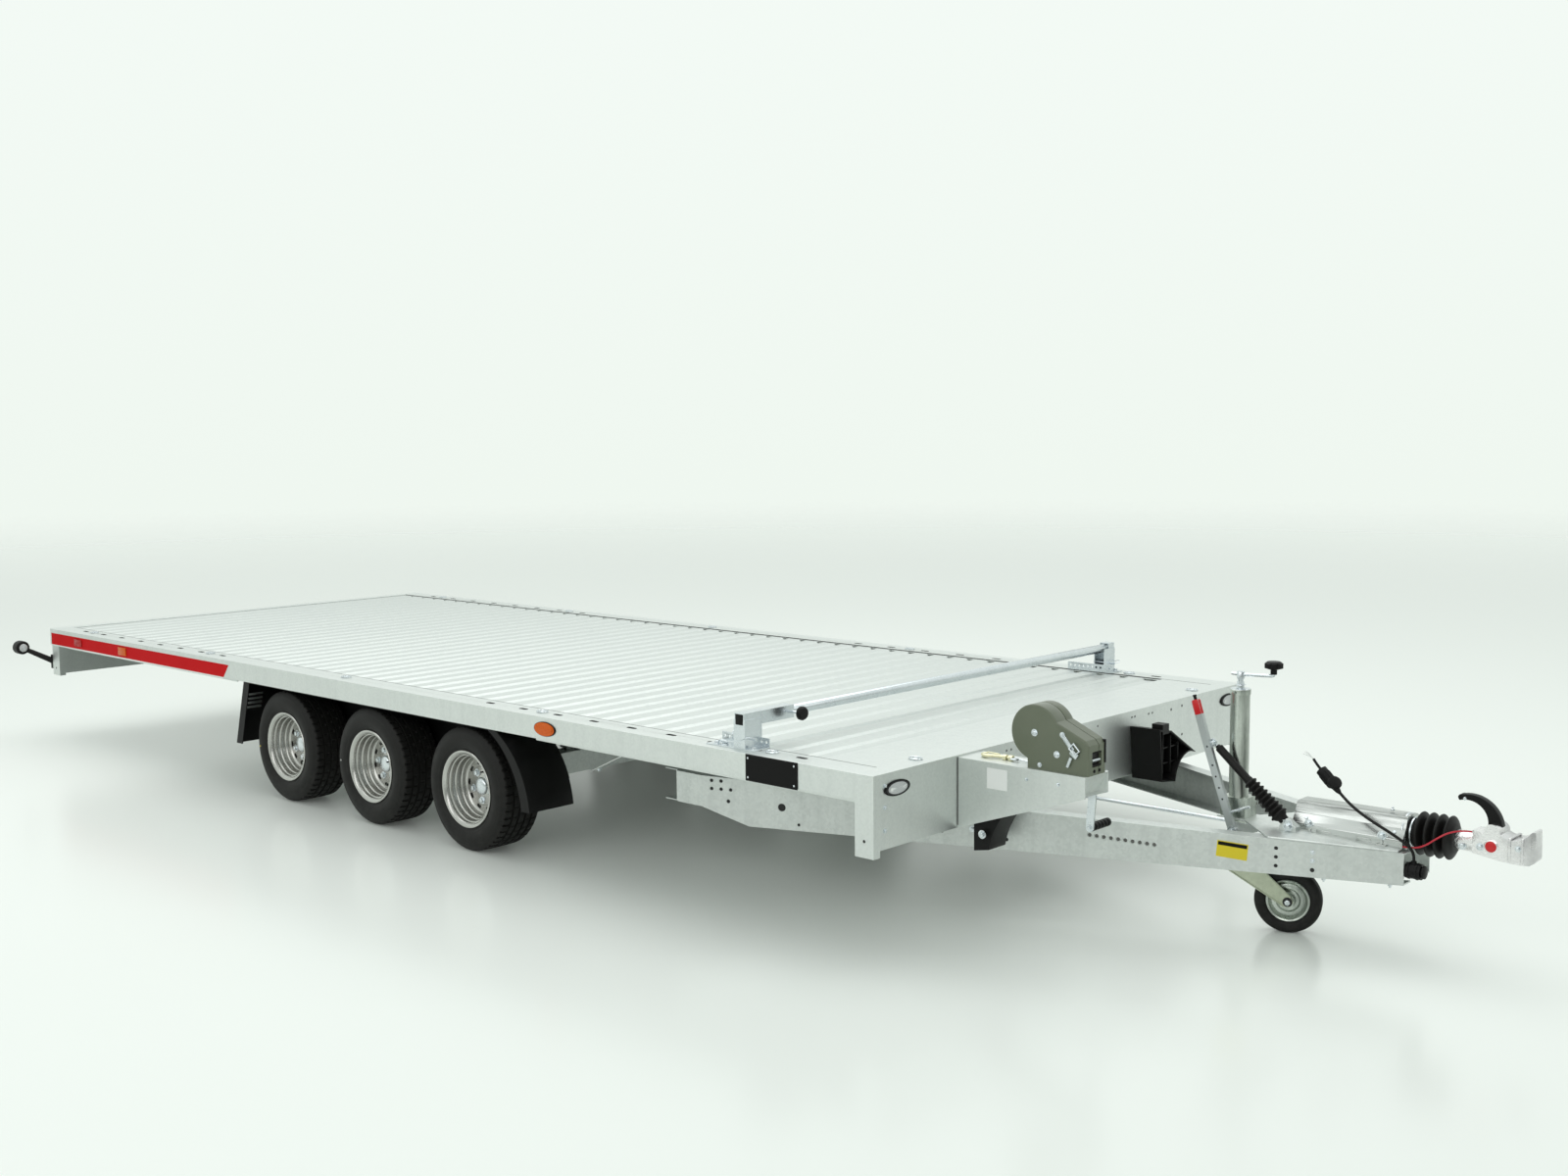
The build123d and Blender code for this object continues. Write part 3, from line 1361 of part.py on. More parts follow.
# ---- Winch hook lying on the bracket, with the rope from the drum ---------------------
with BuildPart() as winch_hook:
    with BuildSketch(Plane.XY.offset(winch_box_top)):
        with BuildLine():
            hook_path = Polyline(
                (front + hook_reach, box_mid),
                (front + 100, box_mid),
                (front + 84, box_mid - 14),
                (front + 62, box_mid - 14),
                (front + 50, box_mid),
                (front + 60, box_mid + 13),
            )
        trace(line_width=10)
    extrude(amount=10)
    with BuildSketch(Plane.YZ.offset(front + hook_reach)):
        with Locations((box_mid, winch_box_top + rope_radius)):
            Circle(rope_radius)
    extrude(amount=winch_reach - winch_neck - hook_reach)
save(winch_hook.part, "winch_hook")

# ---- Handbrake lever and its spring cylinder -----------------------------------------
with BuildPart() as handbrake_lever:
    with BuildSketch(Plane.XZ.offset(-lever_y - lever_thickness / 2)):
        with BuildLine():
            Polyline(lever_foot, lever_kink, lever_tip)
        trace(line_width=lever_width)
        with Locations(lever_foot):
            Circle(lever_boss)
    extrude(amount=lever_thickness)
    # the channel is open towards the centre line, above the solid foot
    with BuildSketch(Plane.XZ.offset(-lever_face)):
        with BuildLine():
            Polyline(lever_foot, lever_kink, lever_tip)
        trace(line_width=lever_width - 2 * lever_wall)
        with Locations(lever_foot):
            Circle(lever_boss, mode=Mode.SUBTRACT)
    extrude(amount=lever_thickness - lever_wall, mode=Mode.SUBTRACT)
save(handbrake_lever.part, "handbrake_lever")

spring_section = Plane(origin=spring_top, x_dir=spring_axis, z_dir=(0, 1, 0))
with BuildPart() as brake_spring:
    with BuildSketch(spring_section):
        boot_start = spring_length * 0.46
        boot_pitch = (spring_length - boot_start - boot_groove) / boot_ribs
        boot = [(boot_start, spring_rod)]
        for index in range(boot_ribs):
            swell = boot_radius + (boot_swell - boot_radius) * index / (boot_ribs - 1)
            x = boot_start + index * boot_pitch
            boot += [
                (x + 0.15 * boot_pitch, swell - boot_groove),
                (x + 0.4 * boot_pitch, swell),
                (x + 0.75 * boot_pitch, swell),
                (x + boot_pitch, swell - boot_groove),
            ]
        with BuildLine():
            Polyline(
                (-lug_ear, 0),
                (-lug_ear, rod_radius),
                (0, rod_radius),
                (0, spring_rod),
                *boot,
                (spring_length, spring_seat),
                (spring_length, 0),
                close=True,
            )
        make_face()
    revolve(axis=Axis(spring_top, spring_axis))
    with BuildSketch(Plane.XZ.offset(-lever_face)):
        with Locations((spring_top.X - 14, spring_top.Z + 12)):
            Circle(9)
    extrude(amount=spring_y - lever_face + 8, dir=(0, 1, 0))
save(brake_spring.part, "brake_spring")

# ---- Brake rod under the chassis, with its equaliser ---------------------------------
rod_start = axles["front"] + arm_length + axle_tube / 2
bar_width = 20
with BuildPart() as brake_linkage:
    with BuildSketch(Plane.YZ.offset(rod_start + 30)):
        with Locations((rod_y, rod_z)):
            Circle(rod_radius)
    extrude(amount=rod_end - rod_start - 30)
    with BuildSketch(Plane.YZ.offset(rod_start + 30)):
        with Locations((rod_y, rod_z)):
            Rectangle(equaliser, bar_width)
    extrude(amount=8)
    with BuildSketch(Plane.YZ.offset(rod_start)):
        with Locations((rod_y - equaliser * 0.4, rod_z), (rod_y + equaliser * 0.4, rod_z)):
            Circle(rod_radius)
    extrude(amount=30)
save(brake_linkage.part, "brake_linkage")

# ---- Lamps ---------------------------------------------------------------------------
marker_x = front - marker_reach
marker_z = deck_height - 42
with BuildPart() as marker_lamps:
    with BuildSketch(Plane.YZ.offset(front)):
        with Locations((-lamp_y, lamp_z), (lamp_y, lamp_z)):
            SlotOverall(lamp_long, lamp_high)
    extrude(amount=lamp_depth)
    for side in sides.values():
        with BuildSketch(Plane.XZ.offset(-side * (half_width + lamp_depth / 2) + lamp_depth / 2)):
            with Locations((marker_x, marker_z)):
                SlotOverall(lamp_long, lamp_high)
        extrude(amount=-lamp_depth)
save(marker_lamps.part, "marker_lamps")

rear_lamp_y = half_width - rear_lamp_inset
with BuildPart() as rear_lamps:
    with BuildSketch(Plane.YZ.offset(rear + rear_panel_inset)):
        with Locations((-rear_lamp_y, lamp_z - 100), (rear_lamp_y, lamp_z - 100)):
            RectangleRounded(rear_lamp_width, rear_lamp_height, 12)
    extrude(amount=-rear_lamp_depth)
    # three lens fields stand out of each housing
    field = rear_lamp_width / rear_lamp_fields
    with BuildSketch(Plane.YZ.offset(rear + rear_panel_inset - rear_lamp_depth)):
        for side in sides.values():
            with Locations((side * rear_lamp_y, lamp_z - 100)):
                with GridLocations(field - 2, 1, rear_lamp_fields, 1):
                    RectangleRounded(field - 10, rear_lamp_height - 12, 8)
    extrude(amount=-5)
save(rear_lamps.part, "rear_lamps")

# rubber-armed outline lamps on the rear posts
head_rear = rear - lamp_overhang
head_length = 56
arm_root = Vector(rear - 2, half_width - 12, rear_bottom + 66)
arm_tip = Vector(head_rear + head_length / 2, half_width + 125, rear_bottom + 146)
arm_line = (arm_tip - arm_root).normalized()
with BuildPart() as outline_lamp:
    with BuildSketch(Plane.YZ.offset(rear + rear_panel_inset)):
        with Locations((half_width - fascia_return / 2, arm_root.Z)):
            Rectangle(fascia_return, 70)
    extrude(amount=-24)
    with BuildSketch(Plane(origin=arm_root, z_dir=arm_line)):
        Circle(15)
    with BuildSketch(Plane(origin=arm_tip, z_dir=arm_line)):
        Circle(11)
    loft()
    with BuildSketch(Plane.YZ.offset(head_rear)):
        with Locations((arm_tip.Y, arm_tip.Z)):
            Circle(lamp_head_radius)
    extrude(amount=head_length)
    rims = outline_lamp.edges().filter_by(GeomType.CIRCLE).group_by(SortBy.RADIUS)[-1]
    fillet(rims, 8)
with BuildPart() as outline_lamps:
    add(outline_lamp.part)
    mirror(outline_lamp.part, about=Plane.XZ)
save(outline_lamps.part, "outline_lamps")

# ---- Lashing eyes lying on the rails -------------------------------------------------
with BuildPart() as lashing_eyes:
    with BuildSketch(Plane.XY.offset(deck_height)):
        eye_places = [rear + share * platform_length for share in eye_shares] + [front - foremost_eye]
        for x in eye_places:
            for side in sides.values():
                with Locations((x, side * (half_width - slot_inset))):
                    SlotOverall(2 * eye_radius, eye_radius)
                    SlotOverall(2 * eye_radius - 2 * eye_bar, eye_radius - 2 * eye_bar, mode=Mode.SUBTRACT)
    extrude(amount=eye_bar)
save(lashing_eyes.part, "lashing_eyes")

# ---- Wheel chocks hung on the front panel --------------------------------------------
chock_high = deck_height - chock_top
chock_low = chock_high - chock_depth
chock_end = chock_inset + chock_reach
with BuildPart() as wheel_chocks:
    # right-angled side towards the centre line, hollow flank for the tyre below
    with BuildSketch(Plane.YZ.offset(front)):
        with BuildLine():
            Polyline(
                (chock_inset, chock_high),
                (chock_inset + 0.31 * chock_reach, chock_high - 0.06 * chock_depth),
                (chock_end, chock_high - 0.54 * chock_depth),
            )
            ThreePointArc(
                (chock_end, chock_high - 0.54 * chock_depth),
                (chock_inset + 0.59 * chock_reach, chock_high - 0.60 * chock_depth),
                (chock_inset + 0.44 * chock_reach, chock_low + 0.07 * chock_depth),
            )
            Polyline(
                (chock_inset + 0.44 * chock_reach, chock_low + 0.07 * chock_depth),
                (chock_inset + 0.07 * chock_reach, chock_low + 0.13 * chock_depth),
                (chock_inset, chock_high),
            )
        make_face()
    chock_outline = wheel_chocks.pending_faces[0]
    extrude(amount=chock_width)
    # a shell open towards the front, with a grip on its upper edge
    with BuildSketch(Plane.YZ.offset(front + chock_width)):
        add(Plane.YZ.offset(front + chock_width).to_local_coords(chock_outline.moved(Location((chock_width, 0, 0)))))
        offset(amount=-chock_wall, kind=Kind.INTERSECTION, mode=Mode.REPLACE)
    extrude(amount=-chock_hollow, mode=Mode.SUBTRACT)
    grip_y = chock_inset + 0.16 * chock_reach
    with BuildSketch(Plane.YZ.offset(front + chock_width)):
        with Locations((grip_y, chock_high - 0.04 * chock_depth)):
            Rectangle(chock_grip, 2 * chock_grip_rise)
        with Locations((grip_y, chock_high - 0.04 * chock_depth - chock_grip_rise)):
            Rectangle(2 * chock_grip, chock_grip_rise, mode=Mode.SUBTRACT)
    extrude(amount=-chock_grip)
    # the other chock hangs under the winch bracket
    hung_from = front + post_width / 2
    hung_to = hung_from + box_chock_length
    hung_low = box_bottom(hung_from) - box_chock_drop
    with BuildSketch(Plane.XZ.offset(winch_box_outer - winch_box_width)):
        with BuildLine():
            Line((hung_from, box_bottom(hung_from)), (hung_to, box_bottom(hung_to)))
            ThreePointArc(
                (hung_to, box_bottom(hung_to)),
                (hung_to - 0.35 * box_chock_length, hung_low + 0.70 * box_chock_drop),
                (hung_to - 0.48 * box_chock_length, hung_low + 0.12 * box_chock_drop),
            )
            Polyline(
                (hung_to - 0.48 * box_chock_length, hung_low + 0.12 * box_chock_drop),
                (hung_from, hung_low),
                (hung_from, box_bottom(hung_from)),
            )
        make_face()
    extrude(amount=box_chock_width)
save(wheel_chocks.part, "wheel_chocks")

# ---- Plug cable, its plug and holder, and the breakaway cable ------------------------
cable_radius = 4.5
holder_radius = 23
holder_y = -75
holder_drop = 97
holder_z = shaft_height - holder_drop
gland_top = holder_z + holder_radius + 6
with BuildPart() as plug_holder:
    with BuildSketch(Plane.YZ.offset(drawbar_front)):
        with Locations((holder_y, holder_z)):
            Circle(holder_radius)
    extrude(amount=46)
    with BuildSketch(Plane.XY.offset(holder_z)):
        with Locations((drawbar_front + 21, holder_y)):
            Circle(8)
    extrude(amount=gland_top - holder_z)
save(plug_holder.part, "plug_holder")


def route(points):
    # one radius for each bend: 0.45 of the shorter run, over the tangent of half the turn
    radii = []
    for before, here, after in zip(points, points[1:], points[2:]):
        run_in = Vector(*here) - Vector(*before)
        run_out = Vector(*after) - Vector(*here)
        turn = radians(run_in.get_angle(run_out))
        radii.append(0.45 * min(run_in.length, run_out.length) / tan(turn / 2))
    return radii


def cord_tube(points, radius, name):
    radii = route(points)
    print(name, "bend radii", [round(r) for r in radii])
    with BuildPart() as tube:
        with BuildLine() as path:
            FilletPolyline(*points, radius=radii)
        with BuildSketch(Plane(origin=path.line @ 0, z_dir=path.line % 0)):
            Circle(radius)
        sweep()
    length = sum(edge.length for edge in path.edges())
    print(name, "length", round(length, 1), "volume ratio", tube.part.volume / (length * pi * radius**2))
    save(tube.part, name)


plug_cable_points = [
    (drawbar_front + 21, holder_y, gland_top),
    (drawbar_front + 21, holder_y, gland_top + 26),
    (drawbar_front, holder_y - 14, gland_top + 52),
    (drawbar_front - 40, holder_y - 19, gland_top + 76),
    (drawbar_front - 91, holder_y - 20, gland_top + 99),
    (drawbar_front - 144, holder_y - 14, gland_top + 124),
    (drawbar_front - 192, holder_y - 4, gland_top + 154),
    (drawbar_front - 234, holder_y + 8, gland_top + 189),
]
cord_tube(plug_cable_points, cable_radius, "plug_cable")
plug_base = Vector(*plug_cable_points[-1])
plug_line = (plug_base - Vector(*plug_cable_points[-2])).normalized()
with BuildPart() as plug:
    with BuildSketch(Plane(origin=plug_base, z_dir=plug_line)):
        Circle(17)
    extrude(amount=58)
save(plug.part, "plug")

breakaway_points = [
    (housing_front, -71, shaft_height - 32),
    (housing_front + 30, -71, shaft_height - 32),
    (housing_front + 66, -78, shaft_height - 18),
    (housing_front + 100, -76, shaft_height + 10),
    (housing_front + 132, -64, shaft_height + 32),
    (neck_x - 22, -26, shaft_height + 34),
    (neck_x, -26, shaft_height + 34),
]
cord_tube(breakaway_points, 2.5, "breakaway_cable")
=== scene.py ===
# Three-axle flatbed car transporter trailer, dressed piece by piece in the order in which it
# is put together.  Metres; +X forward to the coupling, +Y to the trailer's left, +Z up.
from math import cos, pi, radians, sin, tan

import bmesh
import bpy
from mathutils import Matrix, Vector


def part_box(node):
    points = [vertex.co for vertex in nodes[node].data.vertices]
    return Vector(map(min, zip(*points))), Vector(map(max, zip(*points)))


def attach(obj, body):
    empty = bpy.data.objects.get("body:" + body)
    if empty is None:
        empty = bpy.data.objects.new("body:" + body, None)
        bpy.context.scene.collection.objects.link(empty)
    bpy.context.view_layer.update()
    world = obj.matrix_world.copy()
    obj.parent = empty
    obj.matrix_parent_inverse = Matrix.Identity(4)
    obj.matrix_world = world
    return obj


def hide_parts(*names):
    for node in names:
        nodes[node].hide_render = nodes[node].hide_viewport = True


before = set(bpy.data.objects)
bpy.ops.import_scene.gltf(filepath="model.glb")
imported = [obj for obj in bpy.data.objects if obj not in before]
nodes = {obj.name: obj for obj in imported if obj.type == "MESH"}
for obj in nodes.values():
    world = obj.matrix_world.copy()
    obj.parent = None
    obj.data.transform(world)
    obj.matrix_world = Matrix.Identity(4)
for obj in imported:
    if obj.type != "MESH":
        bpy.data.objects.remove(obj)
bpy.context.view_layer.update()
scene = bpy.context.scene

# ---- Studio ---------------------------------------------------------------------------
# A pale floor that runs out into a pale room, soft lamps overhead and to the sides, and the
# camera at the trailer's front right-hand corner.
room_pale = (0.865, 0.930, 0.870)
room_white = (0.930, 0.985, 0.955)


def put(tree, kind, sockets=None, **settings):
    # one shader node; a socket is given a value, or another node's output to follow
    made = tree.nodes.new(kind)
    for setting, value in settings.items():
        setattr(made, setting, value)
    for socket, value in (sockets or {}).items():
        if isinstance(value, bpy.types.NodeSocket):
            tree.links.new(value, made.inputs[socket])
        elif made.inputs[socket].type == "RGBA":
            made.inputs[socket].default_value = (*value, 1)
        else:
            made.inputs[socket].default_value = value
    return made


def maths(tree, operation, *values, **settings):
    return put(tree, "ShaderNodeMath", dict(enumerate(values)), operation=operation, **settings).outputs[0]


def spread(tree, value, low, high, to_low=0.0, to_high=1.0, **settings):
    # a value with its range spread over another one
    ends = {0: value, 1: low, 2: high, 3: to_low, 4: to_high}
    return put(tree, "ShaderNodeMapRange", ends, **settings).outputs[0]


def between(tree, share, first, second):
    # a colour between two
    return put(tree, "ShaderNodeMix", {0: share, 6: first, 7: second}, data_type="RGBA").outputs[2]


def noise(tree, place, scale, detail=2.0, roughness=0.5):
    sockets = {"Vector": place, "Scale": scale, "Detail": detail, "Roughness": roughness}
    return put(tree, "ShaderNodeTexNoise", sockets).outputs["Fac"]


def emptied(owner):
    # the node tree of a new material or world, with nothing in it
    owner.use_nodes = True
    owner.node_tree.nodes.clear()
    return owner.node_tree


world = bpy.data.worlds.new("studio")
scene.world = world
room = emptied(world)
direction = put(room, "ShaderNodeTexCoord").outputs["Generated"]
heights = put(room, "ShaderNodeSeparateXYZ", {0: direction})
backdrop = between(room, spread(room, heights.outputs["Z"], -0.05, 0.5), room_pale, room_white)
# the open front of the studio is dimmer than its back and ceiling, which sheet metal shows
open_side = (-0.80, 0.45, 0.75)
openness = put(room, "ShaderNodeVectorMath", {0: direction, 1: open_side}, operation="DOT_PRODUCT")
dim = spread(room, openness.outputs["Value"], -0.75, 0.35, 0.42)
dimmed = put(room, "ShaderNodeVectorMath", {0: backdrop, 3: dim}, operation="SCALE").outputs[0]
seen = put(room, "ShaderNodeLightPath").outputs
mirrored = maths(room, "MAXIMUM", seen["Is Glossy Ray"], seen["Is Transmission Ray"])
shown = maths(room, "MAXIMUM", seen["Is Camera Ray"], mirrored)
fill_light = put(room, "ShaderNodeBackground", {0: room_white, 1: 0.58}).outputs[0]
seen_light = put(room, "ShaderNodeBackground", {0: between(room, mirrored, backdrop, dimmed)}).outputs[0]
blend = put(room, "ShaderNodeMixShader", {0: shown, 1: fill_light, 2: seen_light})
put(room, "ShaderNodeOutputWorld", {0: blend.outputs[0]})

floor_bmesh = bmesh.new()
bmesh.ops.create_circle(floor_bmesh, cap_ends=True, segments=64, radius=30)
floor_mesh = bpy.data.meshes.new("studio_floor")
floor_bmesh.to_mesh(floor_mesh)
floor_bmesh.free()
studio_floor = bpy.data.objects.new("studio_floor", floor_mesh)
scene.collection.objects.link(studio_floor)
floor_paint = bpy.data.materials.new("studio_floor")
paint = emptied(floor_paint)
spot = put(paint, "ShaderNodeTexCoord").outputs["Object"]
reach = put(paint, "ShaderNodeVectorMath", {0: spot}, operation="LENGTH").outputs["Value"]
run_out = spread(paint, reach, 9.0, 27.0, interpolation_type="SMOOTHSTEP")
lacquer = put(paint, "ShaderNodeBsdfPrincipled", {
    "Base Color": (0.93, 0.97, 0.93), "Roughness": 0.20, "Specular IOR Level": 0.35,
    "Emission Color": (0.93, 1.0, 0.93), "Emission Strength": 0.05,
}).outputs[0]
edge = put(paint, "ShaderNodeBsdfTransparent").outputs[0]
faded = put(paint, "ShaderNodeMixShader", {0: run_out, 1: lacquer, 2: edge}).outputs[0]
put(paint, "ShaderNodeOutputMaterial", {0: faded})
floor_mesh.materials.append(floor_paint)

for name, place, aim, size, watts in (
    ("ceiling_lamp", (-1.0, 0.5, 6.0), (-0.5, 0, 0.5), (9, 5), 175),
    ("side_lamp", (1.5, -7.5, 4.0), (-0.3, 0, 0.4), (7, 3), 70),
    ("front_lamp", (8.5, 1.5, 4.5), (1.5, 0, 0.4), (4, 4), 50),
    ("camera_lamp", (6.5, -7.5, 4.5), (2.4, -0.8, 0.2), (5, 3), 55),
):
    light = bpy.data.lights.new(name, "AREA")
    light.shape = "RECTANGLE"
    light.size, light.size_y = size
    light.energy = watts
    lamp = bpy.data.objects.new(name, light)
    lamp.location = place
    lamp.rotation_euler = (Vector(aim) - Vector(place)).to_track_quat("-Z", "Y").to_euler()
    scene.collection.objects.link(lamp)

camera_data = bpy.data.cameras.new("camera")
camera_data.lens = 38.35
camera_data.sensor_width = 36
camera = bpy.data.objects.new("camera", camera_data)
stand = Matrix.Translation((5.1135, -4.8100, 1.6141))
for angle, axis in ((42.82, "Z"), (90 - 5.80, "X"), (-0.506, "Z")):
    stand = stand @ Matrix.Rotation(radians(angle), 4, axis)
camera.matrix_world = stand
scene.collection.objects.link(camera)
scene.camera = camera
scene.view_settings.view_transform = "Standard"

# ---- Shared finishes of metal, rubber and plastic ------------------------------------
# Hot-dip zinc shows crystals a few millimetres across, clouds and faint runs; moulded
# plastic and rubber have a fine grain; dust settles low down.


def shader_group(name, inputs, *outputs):
    # an empty group, its inputs and results, and the place on the object that it colours
    group = bpy.data.node_groups.new(name, "ShaderNodeTree")
    for label, value in inputs.items():
        kind = "Float" if isinstance(value, float) else "Vector" if label == "Stretch" else "Color"
        socket = group.interface.new_socket(label, in_out="INPUT", socket_type="NodeSocket" + kind)
        socket.default_value = (*value, 1) if kind == "Color" else value
    for label in outputs:
        kind = "Color" if label == "Color" else "Float"
        group.interface.new_socket(label, in_out="OUTPUT", socket_type="NodeSocket" + kind)
    given = put(group, "NodeGroupInput").outputs
    result = put(group, "NodeGroupOutput").inputs
    return group, given, result, put(group, "ShaderNodeTexCoord").outputs["Object"]


# crystals, clouds and runs of a zinc coat
zinc_coat, given, result, spot = shader_group(
    "zinc_coat",
    {"Pale": (0.80, 0.83, 0.81), "Deep": (0.62, 0.65, 0.64), "Crystals": 90.0, "Crystal Depth": 0.35,
     "Roughness": 0.40},
    "Color", "Roughness", "Height",
)
crystal = put(zinc_coat, "ShaderNodeTexVoronoi", {"Vector": spot, "Scale": given["Crystals"]})
facet = put(zinc_coat, "ShaderNodeSeparateColor", {0: crystal.outputs["Color"]}).outputs["Red"]
cloud = noise(zinc_coat, spot, 2.6, 5.0, 0.6)
runs_place = put(zinc_coat, "ShaderNodeMapping", {"Vector": spot, "Scale": (9.0, 9.0, 1.2)}).outputs[0]
runs = noise(zinc_coat, runs_place, 3.0, 3.0)
facet_share = maths(zinc_coat, "MULTIPLY", facet, given["Crystal Depth"])
cloud_share = spread(zinc_coat, cloud, 0.36, 0.66, 0.0, 0.15)
runs_share = spread(zinc_coat, runs, 0.45, 0.75, 0.0, 0.16)
both = maths(zinc_coat, "ADD", facet_share, cloud_share)
depth = maths(zinc_coat, "ADD", both, runs_share, use_clamp=True)
zinc_coat.links.new(between(zinc_coat, depth, given["Pale"], given["Deep"]), result["Color"])
zinc_coat.links.new(maths(zinc_coat, "MULTIPLY_ADD", depth, 0.16, given["Roughness"]), result["Roughness"])
zinc_coat.links.new(both, result["Height"])

# fine grain of moulded plastic, rubber, paint and castings, with a slow change of tone in patches: rubbed
# wear on most finishes, painted reflection streaks on the overrun housing's plated steel and the jockey tube
grain, given, result, spot = shader_group(
    "grain",
    {"Tone": (0.02, 0.02, 0.02), "Patch_Tone": (0.05, 0.05, 0.05), "Size": 900.0, "Patch_Share": 0.3, "Roughness": 0.5,
     "Stretch": (1, 1, 1)},
    "Color", "Roughness", "Height",
)
pits = noise(grain, spot, given["Size"])
drawn_out = put(grain, "ShaderNodeVectorMath", {0: spot, 1: given["Stretch"]}, operation="MULTIPLY")
patches = noise(grain, drawn_out.outputs[0], 7.0, 6.0, 0.65)
patch = maths(grain, "MULTIPLY", spread(grain, patches, 0.42, 0.72), given["Patch_Share"])
grain.links.new(between(grain, patch, given["Tone"], given["Patch_Tone"]), result["Color"])
grain.links.new(maths(grain, "MULTIPLY_ADD", patch, 0.18, given["Roughness"]), result["Roughness"])
grain.links.new(pits, result["Height"])

# dust that settles towards the ground
low_dust, given, result, spot = shader_group(
    "low_dust", {"Color": (0.5, 0.5, 0.5), "Dust": (0.30, 0.29, 0.26), "Amount": 0.3, "Top": 0.45}, "Color"
)
height = put(low_dust, "ShaderNodeSeparateXYZ", {0: spot}).outputs["Z"]
settled = spread(low_dust, height, given["Top"], 0.0, 0.15)
specks = spread(low_dust, noise(low_dust, spot, 34.0, 8.0, 0.7), 0.38, 0.72)
dusty = maths(low_dust, "MULTIPLY", maths(low_dust, "MULTIPLY", settled, specks), given["Amount"])
low_dust.links.new(between(low_dust, dusty, given["Color"], given["Dust"]), result["Color"])


def finish(name, group, values, metal=0.0, bump=0.1, bump_depth=0.0004, dust=0.0, **sockets):
    # a Principled material whose colour, roughness and bump come from a finish group
    material = bpy.data.materials.new(name)
    tree = emptied(material)
    coat = put(tree, "ShaderNodeGroup", values, node_tree=group)
    color = coat.outputs["Color"]
    if dust:
        settling = put(tree, "ShaderNodeGroup", {"Color": color, "Amount": dust}, node_tree=low_dust)
        color = settling.outputs["Color"]
    relief = put(
        tree, "ShaderNodeBump", {"Strength": bump, "Distance": bump_depth, "Height": coat.outputs["Height"]}
    )
    shader = put(tree, "ShaderNodeBsdfPrincipled", {
        "Base Color": color, "Roughness": coat.outputs["Roughness"], "Normal": relief.outputs[0],
        "Metallic": metal, **{label.replace("_", " "): value for label, value in sockets.items()},
    })
    put(tree, "ShaderNodeOutputMaterial", {0: shader.outputs[0]})
    return material


def zinc(name, pale, deep, crystals, crystal_depth=0.22, roughness=0.40, **settings):
    look = dict(Pale=pale, Deep=deep, Crystals=crystals, Roughness=roughness)
    look["Crystal Depth"] = crystal_depth
    return finish(name, zinc_coat, look, metal=1.0, **settings)


def grained(name, tone, patch, size=900.0, roughness=0.5, patch_share=0.3, stretch=(1, 1, 1), **settings):
    look = dict(Tone=tone, Patch_Tone=patch, Size=size, Patch_Share=patch_share, Roughness=roughness, Stretch=stretch)
    return finish(name, grain, look, **settings)


galvanised_sheet = zinc("galvanised_sheet", (0.73, 0.76, 0.74), (0.57, 0.60, 0.59), 140)
galvanised_section = zinc(
    "galvanised_section", (0.70, 0.73, 0.71), (0.44, 0.47, 0.46), 110, roughness=0.42, bump=0.2, dust=0.12
)
bright_zinc = zinc("bright_zinc", (0.76, 0.80, 0.82), (0.40, 0.46, 0.50), 300, roughness=0.22, bump=0.05)
yellow_zinc = zinc("yellow_zinc", (0.78, 0.74, 0.52), (0.60, 0.62, 0.40), 250, 0.2, 0.28, bump=0.05)
grey_zinc = zinc("grey_zinc", (0.56, 0.60, 0.47), (0.34, 0.39, 0.29), 120, 0.2, 0.42, bump=0.08)
moulded_black = grained(
    "moulded_black", (0.003, 0.003, 0.003), (0.007, 0.007, 0.007), 1400, 0.42, bump=0.25, dust=0.01,
    Specular_IOR_Level=0.20,
)
black_rubber = grained(
    "black_rubber", (0.006, 0.0055, 0.005), (0.014, 0.013, 0.012), 700, 0.46, bump=0.15,
    Specular_IOR_Level=0.24,
)

# ---- Plug cable and breakaway cable ---------------------------------------------------
# The rubber-sheathed lighting cable rises from its holder in the drawbar's nose and leans
# back over the overrun housing; the thin red breakaway cable runs on to the coupling.
mm = 0.001
both_sides = (-1, 1)
forward, upward, rightward = (1, 0, 0), (0, 0, 1), (0, -1, 0)


def low(name):
    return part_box(name)[0]


def high(name):
    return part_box(name)[1]


def middle(name):
    return (low(name) + high(name)) / 2


front = high("front_panel").x
rear = low("rear_panel").x
deck = high("front_panel").z
half_width = high("edge_rail_left").y
drawbar_nose = high("drawbar_beam_left").x
shaft_height = middle("overrun_bellows").z
housing_front = low("overrun_bellows").x
holder_y = middle("plug_holder").y
gland_top = high("plug_holder").z
neck_x = high("breakaway_cable").x


def link(piece, body):
    scene.collection.objects.link(piece)
    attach(piece, body)
    return piece


def round_line(name, points, radius, fineness, smooth=True):
    # a round line along a route, on a smooth curve with the route's points as control points
    line = bpy.data.curves.new(name, "CURVE")
    line.dimensions = "3D"
    spline = line.splines.new("NURBS" if smooth else "POLY")
    spline.points.add(len(points) - 1)
    for knot, point in zip(spline.points, points):
        knot.co = (*point, 1)
    if smooth:
        spline.order_u = 3
        spline.use_endpoint_u = True
        spline.resolution_u = 2 + 2 * fineness
    line.bevel_depth = radius
    line.bevel_resolution = fineness
    line.use_fill_caps = True
    return line


def cord(name, points, radius, material):
    line = round_line(name, points, radius, 4)
    line.materials.append(material)
    return link(bpy.data.objects.new(name, line), "chassis")


